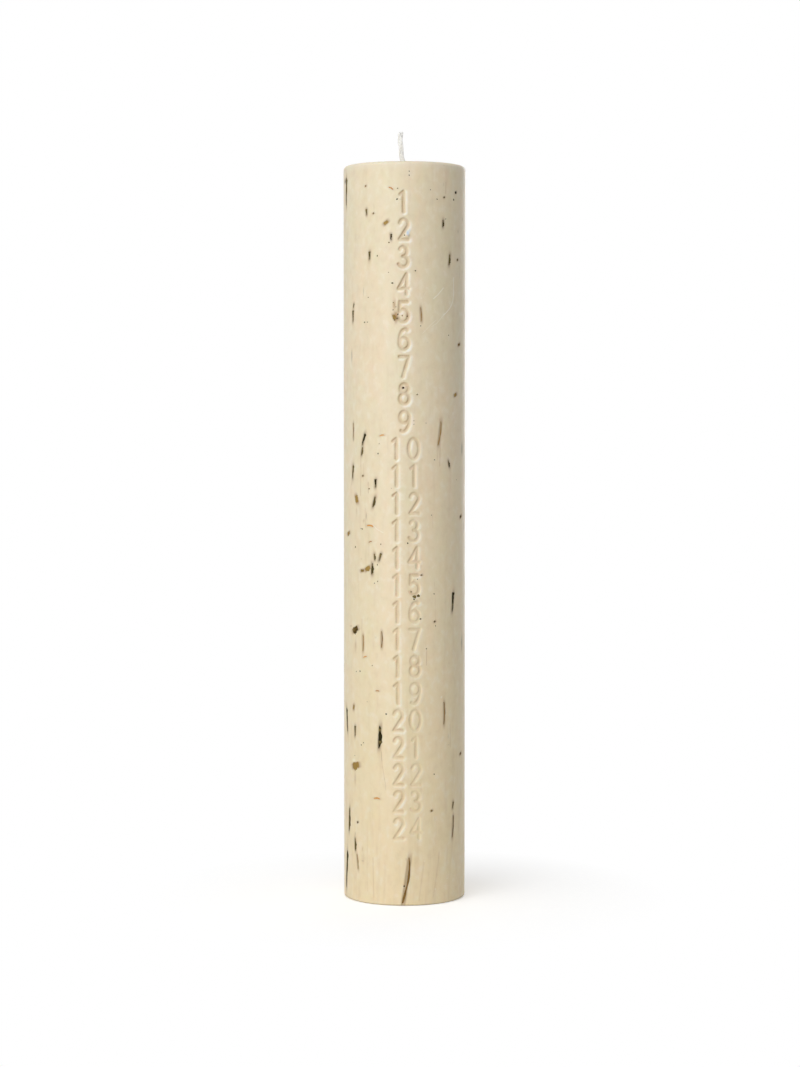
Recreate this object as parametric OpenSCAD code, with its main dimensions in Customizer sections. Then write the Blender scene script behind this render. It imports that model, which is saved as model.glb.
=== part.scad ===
// Calendar candle: a tall cast pillar with the days 1 to 24 pressed into its side,
// a braided wick and crumbs of dried plants held in the wax.
// Z is up, the origin is the centre of the base, and the numbers face -Y.

/* [Wax body] */
// Diameter of the pillar
candle_d = 50; // [44:0.5:70]
// Height of the wax, without the wick
candle_h = 300; // [275:1:400]
// Radius of the rounded rim
rim_r = 1.6; // [0.6:0.1:3]
// Radius of the rounded edge at the foot
foot_r = 0.8; // [0.3:0.1:1.2]

/* [Wick] */
// Diameter of the braided and waxed wick
wick_d = 2.3; // [1.6:0.1:4]
// Length of wick that stands free above the wax
wick_free = 14.7; // [8:0.1:25]
// How far the tip leans to the left of the root
wick_lean = 1.4; // [0:0.1:3]
// Length over which the plait repeats
plait_pitch = 6.6; // [4:0.1:10]

/* [Wick sustainer] */
// Diameter of the tinplate disc
disc_d = 19; // [12:0.5:30]
// Thickness of the disc
disc_t = 0.4; // [0.2:0.05:1]
// How far the disc sits up inside the base
disc_recess = 0.5; // [0.2:0.05:2]
// Height of the neck that grips the wick
neck_h = 8; // [4:0.5:14]
// Wall of the neck
neck_wall = 0.35; // [0.2:0.05:0.8]
// Radius of the bend from disc to neck
neck_bend = 0.8; // [0.3:0.1:2]

/* [Numbers] */
// Last day of the calendar
last_day = 24; // [6:1:28]
// From the top of the wax down to the middle of the first number
first_mark = 16.3; // [10:0.1:24]
// From the base up to the middle of the last number
last_mark = 31.5; // [10:0.5:36]
// Height of a digit over its strokes
digit_h = 9.2; // [7:0.1:10]
// Width of a digit over its strokes
digit_w = 5; // [4:0.1:6]
// Width of a nought over its strokes
nought_w = 5.4; // [4.2:0.1:6]
// Middle to middle of the two digits of a number
digit_step = 7.2; // [6.4:0.1:9]
// Width of a pressed stroke
stroke_w = 1.2; // [0.7:0.05:1.4]
// Depth of a pressed stroke
stroke_depth = 0.6; // [0.3:0.05:1.2]
// Turn of the first number from straight ahead, in degrees
column_start = -1.2; // [-10:0.1:10]
// Turn from the first number to the last, in degrees
column_turn = 4; // [-8:0.1:8]

/* [Plant crumbs] */
// How deep a crumb lies in the wax
crumb_depth = 0.5; // [0.3:0.05:1]
// Length of a middling leaf sliver
leaf_l = 4; // [3:0.1:5]
// Width of a middling leaf sliver
leaf_w = 1.2; // [0.8:0.05:1.6]
// Length of a middling stem
stem_l = 6; // [4:0.1:8]
// Width of a middling stem
stem_w = 0.6; // [0.4:0.05:0.8]
// Breadth of a middling bark crumb
bark_w = 2; // [1.4:0.1:2.6]
// Length of a middling petal crumb
petal_l = 1.8; // [1.2:0.1:2.4]
// Diameter of a middling seed
seed_d = 1; // [0.7:0.05:1.3]

/* [Hidden] */
$fn = 96;

candle_r = candle_d / 2;
wick_r = wick_d / 2;
neck_r = wick_r + neck_wall;
disc_top = disc_recess + disc_t;
row_pitch = (candle_h - first_mark - last_mark) / (last_day - 1);
// What a cutting shape reaches past the face that it cuts
past = 1;
// Least wax between a crumb's end and the rounded rim or foot
end_wax = 0.5;

// Half the box round a digit's middle lines
half_w = (digit_w - stroke_w) / 2;
half_h = (digit_h - stroke_w) / 2;
half_nought = (nought_w - stroke_w) / 2;

// Angle between the points of a curved stroke, and of its round ends
curve_step = 20;
cap_step = 45;

// Crumbs that show at the front, each as the share of the height in percent,
// the turn from straight ahead in degrees, the share of the middling length,
// and the lean to the left in degrees.
leaf_front = [
    [96.4, -71, 2.8, 3], [93.3, -37.7, 0.6, 8], [87.5, -34.2, 0.8, 4],
    [89.9, -12.4, 0.6, 14], [91.8, 38.5, 0.75, 6], [87, 46.7, 1.1, 0],
    [79.5, -56.6, 1.15, 2], [80.9, -55.5, 0.45, 0], [62.9, -41.2, 1.25, -8],
    [61.3, -43.4, 0.85, -6], [58.5, -57, 1.35, 0], [57, -27.8, 0.85, 4],
    [54.5, -29.4, 1.1, -9], [59.6, 46.1, 0.7, 24], [47.1, -28.8, 0.65, 12],
    [47.1, -23.2, 0.8, -12], [45.5, -31.4, 1.15, 8], [40.9, 51.9, 1.95, -4],
    [23.3, -53.6, 1.05, 4], [22.8, -23.6, 2.3, 2], [24.6, -70.2, 2.4, 11],
    [11, -64.4, 2.4, 0], [7.8, -53.3, 1.25, 11], [4, -71, 3.9, 0],
    [13.2, 52.4, 0.7, 0]
];
stem_front = [
    [3.4, 0.9, 3, -6.5], [63.7, 34.3, 1.5, -6], [79.6, 15.1, 0.85, 3],
    [25.9, 39.6, 1.4, 0], [64.1, -56.5, 0.9, 0], [36, -22, 1, 0],
    [35.4, -42.6, 1, 0], [5.5, -50.2, 0.9, 6], [10.3, 51.8, 1.4, -3]
];
bark_front = [
    [37.1, -53.7, 1.9, 4], [18.6, -53.2, 2.2, -8], [45.5, -36.9, 1.3, 10],
    [45.2, -43.3, 0.8, -10], [91.8, -17.5, 1, 20], [50.1, -66.2, 1.1, 0],
    [68.9, 55.6, 0.9, 0], [75.7, 62.4, 0.8, 0], [54.8, -51, 1.5, 90],
    [79.2, -9.4, 1, 90], [26.5, -56, 0.9, 60], [52.4, 66.7, 0.8, 0],
    [20, 66.7, 0.7, 0]
];
petal_front = [
    [63.4, -21.2, 0.9, 10], [51.2, -33.8, 1.3, -6], [14.4, -26.4, 1.2, 0],
    [29, -26, 0.7, 0], [49.1, -33.5, 0.6, 20], [96.3, -12.6, 0.9, -30],
    [33.5, -39.8, 0.8, 20]
];
seed_front = [
    [96.8, -38.7, 0.7, 0], [96.1, 56.2, 1.2, 0], [87.1, 59.4, 1.1, 0],
    [93.1, -30, 0.7, 0], [69.8, -1, 0.9, 0], [44.7, 15.9, 0.9, 0],
    [38.4, 29.4, 0.8, 0], [12.8, 26.2, 0.9, 0], [10.9, -49.7, 0.9, 0],
    [95.3, 39.8, 0.8, 0], [58, -42.4, 0.8, 0]
];

// Steps of an even scatter over the hidden side, where crumbs lie as thickly
scatter_up = 0.7549;
scatter_round = 0.5698;
scatter_size = 0.3819;
back_start = 92;
back_span = 176;

function frac(x) = x - floor(x);

// The k-th crumb of the hidden side, with its length as a share of the middling one
function back_crumb(k, least, most) = [
    5 + 90 * frac(scatter_up * k),
    back_start + back_span * frac(scatter_round * k),
    least + (most - least) * frac(scatter_size * k),
    40 * frac(scatter_size * k + scatter_round) - 20
];

// Every fifth spot of the scatter is of the same kind
function back_crumbs(kind, count, least, most) =
    [for (k = [0 : count - 1]) back_crumb(5 * k + kind + 1, least, most)];

leaf_all = concat(leaf_front, back_crumbs(0, 12, 0.6, 2.2));
stem_all = concat(stem_front, back_crumbs(1, 8, 0.7, 2));
bark_all = concat(bark_front, back_crumbs(2, 8, 0.7, 1.9));
petal_all = concat(petal_front, back_crumbs(3, 7, 0.6, 1.3));
seed_all = concat(seed_front, back_crumbs(4, 10, 0.7, 1.2));

// Middle line of a curved stroke in the unit box, from one angle to another
function arc(cx, cy, rx, ry, from, to) =
    let (steps = ceil(abs(to - from) / curve_step))
    [for (k = [0 : steps]) let (t = from + (to - from) * k / steps)
        [cx + rx * cos(t), cy + ry * sin(t)]];

// Open strokes of each digit, as middle lines in a box from -1 to 1 both ways
six_tail = arc(0.3, -0.2, 1.3, 1.2, 192, 72);
STROKES = [
    [],
    [[[-0.6, 0.74], [0.08, 1]], [[0.08, 1], [0.08, -1]]],
    [concat(arc(0.1, 0.5, 0.9, 0.5, 165, -35), [[-0.8, -1]]), [[-0.8, -1], [1, -1]]],
    [arc(-0.1, 0.52, 0.78, 0.48, 150, -90), arc(-0.1, -0.48, 1.05, 0.52, 90, -150)],
    [[[0.6, 1], [-1.1, -0.42]], [[-1.1, -0.42], [1, -0.42]], [[0.6, 1], [0.6, -1]]],
    [[[0.75, 1], [-0.8, 1]], [[-0.8, 1], [-0.88, 0.06]],
        arc(-0.1, -0.38, 1.05, 0.62, 135, -150)],
    [six_tail],
    [[[-1, 1], [1, 1]], [[1, 1], [-0.3, -1]]],
    [],
    [-six_tail]
];

// Closed strokes of each digit, as the middle and the half axes of an oval
LOOPS = [
    [[0, 0, 1, 1]],
    [], [], [], [], [],
    [[0, -0.42, 1, 0.58]],
    [],
    [[0, 0.53, 0.86, 0.47], [0, -0.47, 1, 0.53]],
    [[0, 0.42, 1, 0.58]]
];

function unit(v) = v / norm(v);
function left_of(v) = [-v.y, v.x];
function heading(v) = atan2(v.y, v.x);

// Direction of a path at its i-th point
function along(path, i) =
    unit(path[min(i + 1, len(path) - 1)] - path[max(i - 1, 0)]);

// Half circle of points round an end of a path, which heads out of it
function cap(p, out, w) =
    [for (t = [-90 + cap_step : cap_step : 90 - cap_step])
        p + w / 2 * [cos(heading(out) + t), sin(heading(out) + t)]];

// Outline of a stroke of one width with round ends
function band(path, w) =
    let (n = len(path) - 1)
    concat(
        [for (i = [0 : n]) path[i] - w / 2 * left_of(along(path, i))],
        cap(path[n], along(path, n), w),
        [for (i = [n : -1 : 0]) path[i] + w / 2 * left_of(along(path, i))],
        cap(path[0], -along(path, 0), w)
    );

function oval(cx, cy, rx, ry) =
    [for (t = [0 : curve_step : 360 - curve_step]) [cx + rx * cos(t), cy + ry * sin(t)]];

// Flat outline of one digit
module digit(d) {
    a = d == 0 ? half_nought : half_w;
    for (path = STROKES[d])
        polygon(band([for (p = path) [p.x * a, p.y * half_h]], stroke_w));
    for (o = LOOPS[d])
        difference() {
            polygon(oval(o[0] * a, o[1] * half_h,
                o[2] * a + stroke_w / 2, o[3] * half_h + stroke_w / 2));
            polygon(oval(o[0] * a, o[1] * half_h,
                o[2] * a - stroke_w / 2, o[3] * half_h - stroke_w / 2));
        }
}

// Stands a flat outline on the side of the pillar and drives it in
module on_side(turn, z, depth) {
    rotate([0, 0, turn])
        translate([0, depth - candle_r, z])
            rotate([90, 0, 0])
                linear_extrude(depth + past) children();
}

// The cut of one day of the calendar
module number(n) {
    share = (n - 1) / (last_day - 1);
    turn = column_start + column_turn * share;
    z = candle_h - first_mark - row_pitch * (n - 1);
    side = asin(digit_step / 2 / candle_r);
    if (n < 10)
        on_side(turn, z, stroke_depth) digit(n);
    else {
        on_side(turn - side, z, stroke_depth) digit(floor(n / 10));
        on_side(turn + side, z, stroke_depth) digit(n % 10);
    }
}

// Sliver of leaf with torn, uneven edges
function leaf_outline(l, w) = [
    [0.05 * w, 0.5 * l], [-0.38 * w, 0.22 * l], [-0.5 * w, -0.12 * l],
    [-0.1 * w, -0.5 * l], [0.34 * w, -0.2 * l], [0.5 * w, 0.14 * l]
];

// Blunt crumb of bark
function bark_outline(w) = [
    [-0.5 * w, 0.12 * w], [-0.36 * w, -0.26 * w], [0.02 * w, -0.4 * w],
    [0.4 * w, -0.24 * w], [0.5 * w, 0.14 * w], [0.2 * w, 0.4 * w], [-0.2 * w, 0.3 * w]
];

// Middle line of a bent stem or petal, bowed to the right by a share of its length
function bowed(l, bow) =
    [for (t = [-1 : 0.5 : 1]) [bow * l * (1 - t * t), t * l / 2]];

// Height of a crumb's middle, kept on the straight wall
function crumb_z(c, l) =
    let (low = foot_r + end_wax + l / 2, high = candle_h - rim_r - end_wax - l / 2)
    max(low, min(high, c[0] / 100 * candle_h));

module seat(c, l) {
    on_side(c[1], crumb_z(c, l), crumb_depth) rotate(c[3]) children();
}

module leaf_seats() {
    for (c = leaf_all)
        seat(c, leaf_l * c[2])
            polygon(leaf_outline(leaf_l * c[2], leaf_w * sqrt(c[2])));
}

module stem_seats() {
    for (c = stem_all)
        seat(c, stem_l * c[2])
            polygon(band(bowed(stem_l * c[2], 0.06), stem_w * sqrt(c[2])));
}

module bark_seats() {
    for (c = bark_all)
        seat(c, bark_w * c[2])
            polygon(bark_outline(bark_w * c[2]));
}

// Petals lie across the pillar, curled like a moustache
module petal_seats() {
    for (c = petal_all)
        seat(c, petal_l * c[2])
            rotate(90) polygon(band(bowed(petal_l * c[2], 0.14), petal_l * c[2] / 3));
}

module seed_seats() {
    for (c = seed_all)
        seat(c, seed_d * c[2])
            circle(d = seed_d * c[2]);
}

// Trims crumbs flush with the side of the pillar, which is drawn finely because
// a crumb is so thin
module flush() {
    intersection() {
        cylinder(h = candle_h, r = candle_r, $fn = 720);
        union() children();
    }
}

// Half section of the pillar, with its rounded rim and foot
module pillar_section() {
    difference() {
        square([candle_r, candle_h]);
        translate([candle_r - rim_r, candle_h - rim_r])
            difference() {
                square(rim_r + past);
                circle(r = rim_r);
            }
        translate([candle_r - foot_r, foot_r])
            difference() {
                translate([0, -foot_r - past]) square(foot_r + past);
                circle(r = foot_r);
            }
    }
}

// Half section of the sustainer, from an inner radius outwards
module sustainer_section(inner) {
    translate([inner, disc_recess]) square([disc_d / 2 - inner, disc_t]);
    translate([inner, disc_recess]) square([neck_r - inner, disc_t + neck_h]);
    difference() {
        translate([inner, disc_recess]) square([neck_r + neck_bend - inner, disc_t + neck_bend]);
        translate([neck_r + neck_bend, disc_top + neck_bend]) circle(r = neck_bend);
    }
}

module wax_body() {
    color("#E9DCC0")
    difference() {
        rotate_extrude() pillar_section();
        cylinder(h = candle_h + past, r = wick_r);
        translate([0, 0, -past]) cylinder(h = past + disc_top, d = disc_d);
        rotate_extrude() sustainer_section(0);
        for (n = [1 : last_day]) number(n);
        leaf_seats();
        stem_seats();
        bark_seats();
        petal_seats();
        seed_seats();
    }
}

// Rings of the free end, which leans to the left, swells with the plait and
// thins towards its frayed tip
wick_sides = 12;
wick_rings = 16;
wick_flat = 0.82;
plait_swell = 0.1;
tip_share = 0.7;

function wick_ring(k) =
    let (
        t = k / wick_rings,
        up = t * wick_free,
        swell = 0.95 + plait_swell * (1 - cos(360 * up / plait_pitch)) / 2,
        thin = t < 0.9 ? 1 : 1 - (1 - tip_share) * (t - 0.9) / 0.1,
        r = wick_r * swell * thin,
        x = -wick_lean * t * t * (3 - 2 * t) + 0.12 * sin(360 * up / plait_pitch) * t
    )
    [for (s = [0 : wick_sides - 1])
        [x + r * cos(360 * s / wick_sides), wick_flat * r * sin(360 * s / wick_sides), up]];

module wick() {
    points = [for (k = [0 : wick_rings]) each wick_ring(k)];
    sides = [for (k = [0 : wick_rings - 1], s = [0 : wick_sides - 1])
        let (a = k * wick_sides + s, b = k * wick_sides + (s + 1) % wick_sides)
        [a, a + wick_sides, b + wick_sides, b]];
    root = [for (s = [0 : wick_sides - 1]) s];
    tip = [for (s = [wick_sides - 1 : -1 : 0]) wick_rings * wick_sides + s];
    color("#F4F1E8") {
        translate([0, 0, disc_recess]) cylinder(h = candle_h - disc_recess, r = wick_r);
        translate([0, 0, candle_h]) polyhedron(points, concat(sides, [root, tip]));
    }
}

module wick_sustainer() {
    color("#B9BCBE")
    rotate_extrude() sustainer_section(wick_r);
}

module leaf_slivers() {
    color("#33342A") flush() leaf_seats();
}

module stem_pieces() {
    color("#8A6A38") flush() stem_seats();
}

module bark_crumbs() {
    color("#7A5A24") flush() bark_seats();
}

module petal_crumbs() {
    color("#CE8A3C") flush() petal_seats();
}

module seed_specks() {
    color("#4C4A34") flush() seed_seats();
}

wax_body();
wick();
wick_sustainer();
leaf_slivers();
stem_pieces();
bark_crumbs();
petal_crumbs();
seed_specks();
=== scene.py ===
"""Visual model of a calendar candle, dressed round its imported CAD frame.

A cream pillar of cast wax carries the days 1 to 24 pressed down its front. Crumbs of
dried plants lie in the wax, a plaited cotton wick stands out of the top and a tinplate
sustainer sits in the base. Lengths are in metres, Z is up and the numbers face -Y.
Places on the side are given as on the unrolled wall: across from the front, then height.
"""

import logging
import math
from dataclasses import dataclass, field
from enum import Enum
from functools import partial
from typing import Any

import bmesh
import bpy
import numpy as np
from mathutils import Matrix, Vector, noise
from mathutils.kdtree import KDTree


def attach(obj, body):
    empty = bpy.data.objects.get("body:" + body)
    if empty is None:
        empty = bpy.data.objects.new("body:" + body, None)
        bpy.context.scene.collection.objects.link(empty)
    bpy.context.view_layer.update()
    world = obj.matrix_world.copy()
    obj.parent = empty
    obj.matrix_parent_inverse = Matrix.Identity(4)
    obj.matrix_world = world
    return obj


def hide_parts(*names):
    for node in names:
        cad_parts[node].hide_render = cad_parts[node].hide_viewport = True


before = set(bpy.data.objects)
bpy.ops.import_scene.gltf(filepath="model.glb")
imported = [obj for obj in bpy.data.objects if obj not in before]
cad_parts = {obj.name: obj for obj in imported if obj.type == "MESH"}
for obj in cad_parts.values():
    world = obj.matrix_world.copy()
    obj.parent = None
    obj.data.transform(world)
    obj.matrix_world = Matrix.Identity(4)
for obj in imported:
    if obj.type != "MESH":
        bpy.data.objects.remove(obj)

Colour = tuple[float, float, float, float]
Size = tuple[float, float, float]
Path = list[tuple[float, float]]
Rows = tuple[tuple[float, ...], ...]

MM = 0.001
# Sizes of the wax that several pieces share. FOOT is the radius of its rounded lower edge
RADIUS = 25 * MM
HEIGHT = 300 * MM
FOOT = 0.8 * MM
WHITE: Colour = (1.0, 1.0, 1.0, 1.0)
LOG = logging.getLogger("calendar_candle")


# Small helpers that every piece uses


def linear(code: str) -> Colour:
    """Turns an sRGB hex colour to linear light.

    Args:
        code: Colour such as "#E8DDC4".

    Returns:
        Red, green, blue and alpha, as a shader socket takes them.
    """
    parts = [int(code[k : k + 2], 16) / 255 for k in (1, 3, 5)]
    red, green, blue = (
        c / 12.92 if c <= 0.04045 else ((c + 0.055) / 1.055) ** 2.4 for c in parts
    )
    return red, green, blue, 1.0


def add_node(
    tree: bpy.types.NodeTree, kind: str, inputs: dict[Any, Any], out: Any = 0, **settings: Any
) -> bpy.types.NodeSocket | None:
    """Adds a node, sets it up and links it.

    Args:
        tree: Node tree that takes the node.
        kind: Type name of the node.
        inputs: Values or output sockets for its inputs, by name or number.
        out: Name or number of the output that is wanted.
        **settings: Properties of the node.

    Returns:
        That output's socket, or None where the node has none.
    """
    node = tree.nodes.new(kind)
    for name, value in settings.items():
        setattr(node, name, value)
    for key, value in inputs.items():
        if isinstance(value, bpy.types.NodeSocket):
            tree.links.new(value, node.inputs[key])
        else:
            node.inputs[key].default_value = value
    return node.outputs[out] if node.outputs else None


def new_object(name: str, mesh: bpy.types.Mesh) -> bpy.types.Object:
    """Puts a mesh into the scene as an object at the origin.

    Args:
        name: Name of the piece.
        mesh: Mesh that holds its place in its points.

    Returns:
        The object.
    """
    piece = bpy.data.objects.new(name, mesh)
    bpy.context.scene.collection.objects.link(piece)
    return piece


def mesh_from(
    name: str, points: Any, faces: list[tuple[int, ...]], edges: list[tuple[int, int]] = ()
) -> bpy.types.Mesh:
    """Makes a mesh from points, faces and loose edges.

    Args:
        name: Name of the mesh.
        points: One row of x, y and z a point.
        faces: Point numbers of each face.
        edges: Point numbers of each loose edge.

    Returns:
        The mesh.
    """
    mesh = bpy.data.meshes.new(name)
    mesh.from_pydata([tuple(p) for p in points], list(edges), faces)
    mesh.update()
    return mesh


def ring_faces(rings: int, count: int, first: int = 0) -> list[tuple[int, ...]]:
    """Lists the faces between rings of points, each ring closed round a tube.

    Args:
        rings: How many rings there are.
        count: Points in a ring.
        first: Number of the first ring's first point.

    Returns:
        Point numbers of each face, ring by ring.
    """
    faces = []
    for a in range(first, first + (rings - 1) * count, count):
        for k in range(count):
            after = (k + 1) % count
            faces.append((a + k, a + after, a + count + after, a + count + k))
    return faces


def set_values(mesh: bpy.types.Mesh, name: str, values: Any, kind: str = "FLOAT") -> None:
    """Stores a number or a vector on every point of a mesh.

    Args:
        mesh: Mesh that takes the values.
        name: Name of the attribute.
        values: One row a point.
        kind: FLOAT, INT or FLOAT_VECTOR.
    """
    layer = mesh.attributes.new(name, kind, "POINT")
    plain = np.asarray(values, np.int32 if kind == "INT" else np.float32).ravel()
    layer.data.foreach_set("vector" if kind == "FLOAT_VECTOR" else "value", plain)


def read_rows(source: Any, name: str) -> np.ndarray:
    """Reads a vector of every item of a mesh's list.

    Args:
        source: The list, such as a mesh's vertices.
        name: Name of the vector.

    Returns:
        One row an item.
    """
    rows = np.empty(len(source) * 3, np.float32)
    source.foreach_get(name, rows)
    return rows.reshape(-1, 3).astype(float)


def wrap(radius: Any, angle: np.ndarray, height: Any) -> np.ndarray:
    """Places points round the axis of the candle.

    Args:
        radius: Distance of each point from the axis, or one for all.
        angle: Turn of each point from the front, in radians.
        height: Height of each point, or one for all.

    Returns:
        One row of x, y and z a point.
    """
    heights = np.broadcast_to(height, angle.shape)
    return np.column_stack((radius * np.sin(angle), -radius * np.cos(angle), heights))


def tree_of(places: list[tuple[float, float]]) -> KDTree:
    """Makes a tree that finds the nearest of some places on the unrolled side.

    Args:
        places: The places.

    Returns:
        The tree.
    """
    tree = KDTree(len(places))
    for k, (across, height) in enumerate(places):
        tree.insert((across, height, 0), k)
    tree.balance()
    return tree


class Finish:
    """A material in the making. Its add takes what add_node takes after the tree."""

    def __init__(self, name: str) -> None:
        """Starts a material.

        Args:
            name: Name of the real material.
        """
        self.material = bpy.data.materials.new(name)
        self.material.use_nodes = True
        self.material.node_tree.nodes.clear()
        self.add = partial(add_node, self.material.node_tree)

    def grain(self, size: Size, detail: float) -> bpy.types.NodeSocket:
        """Makes noise whose patches have a real size.

        Args:
            size: Length of a patch along x, y and z in millimetres.
            detail: Octaves of the noise.

        Returns:
            Socket of its value.
        """
        place = self.add("ShaderNodeTexCoord", {}, "Object")
        scale = tuple(1 / (s * MM) for s in size)
        scaled = self.add("ShaderNodeMapping", {"Vector": place, "Scale": scale})
        return self.add("ShaderNodeTexNoise", {"Vector": scaled, "Scale": 1.0, "Detail": detail})

    def tint(self, colour: Any, code: str, share: Any, low: float, high: float, most: float) -> Any:
        """Lays a colour over another where a value is high.

        Args:
            colour: Colour or socket that lies under.
            code: Colour that goes over, as hex.
            share: Socket of the value.
            low: Value at which it starts.
            high: Value at which it is full.
            most: Strength when full.

        Returns:
            Socket of the mixed colour.
        """
        ramp = {"Value": share, "From Min": low, "From Max": high, "To Max": most}
        strength = self.add("ShaderNodeMapRange", ramp, interpolation_type="SMOOTHSTEP")
        inputs = {0: strength, 6: colour, 7: linear(code)}
        return self.add("ShaderNodeMix", inputs, 2, data_type="RGBA")

    def finish(self, inputs: dict[str, Any]) -> bpy.types.Material:
        """Ends the tree with a Principled surface.

        Args:
            inputs: Value or socket of each of its inputs that is set.

        Returns:
            The material.
        """
        surface = self.add("ShaderNodeBsdfPrincipled", inputs)
        self.add("ShaderNodeOutputMaterial", {"Surface": surface})
        return self.material


class Shaping:
    """A Geometry Nodes tree that is built in steps and then baked into a mesh."""

    def __init__(self, name: str, sockets: dict[str, str]) -> None:
        """Starts a tree with its named inputs.

        Args:
            name: Name of the tree.
            sockets: Kind of each input, by its name.
        """
        self.tree = bpy.data.node_groups.new(name, "GeometryNodeTree")
        self.add = partial(add_node, self.tree)
        sides = self.tree.interface
        for label, kind in {"Geometry": "Geometry", **sockets, "Material": "Material"}.items():
            sides.new_socket(label, in_out="INPUT", socket_type="NodeSocket" + kind)
        sides.new_socket("Geometry", in_out="OUTPUT", socket_type="NodeSocketGeometry")
        self.start = self.add("NodeGroupInput", {}).node

    def given(self, label: str) -> bpy.types.NodeSocket:
        """Returns the socket of a named input."""
        return self.start.outputs[label]

    def finish(self, geometry: bpy.types.NodeSocket) -> None:
        """Ends the tree with smooth faces, real geometry and the piece's material.

        Args:
            geometry: Socket of the shaped geometry.
        """
        real = self.add("GeometryNodeRealizeInstances", {0: geometry})
        smooth = self.add("GeometryNodeSetShadeSmooth", {0: real})
        inputs = {"Geometry": smooth, "Material": self.given("Material")}
        self.add("NodeGroupOutput", {0: self.add("GeometryNodeSetMaterial", inputs)})

    def bake(
        self, name: str, source: bpy.types.Object, values: dict[str, Any]
    ) -> bpy.types.Object:
        """Runs the tree on an object and keeps the result as a plain mesh.

        Args:
            name: Name of the finished piece.
            source: Object that the tree starts from, which goes away.
            values: Value of each named input. Objects among them go away too.

        Returns:
            The finished piece.
        """
        modifier = source.modifiers.new(self.tree.name, "NODES")
        modifier.node_group = self.tree
        for item in self.tree.interface.items_tree:
            if item.in_out == "INPUT" and item.name in values:
                modifier[item.identifier] = values[item.name]
        source.update_tag()
        graph = bpy.context.evaluated_depsgraph_get()
        mesh = bpy.data.meshes.new_from_object(source.evaluated_get(graph))
        mesh.name = name
        source.modifiers.remove(modifier)
        for used in [source] + [v for v in values.values() if isinstance(v, bpy.types.Object)]:
            bpy.data.objects.remove(used)
        return new_object(name, mesh)


# Finishes


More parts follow.
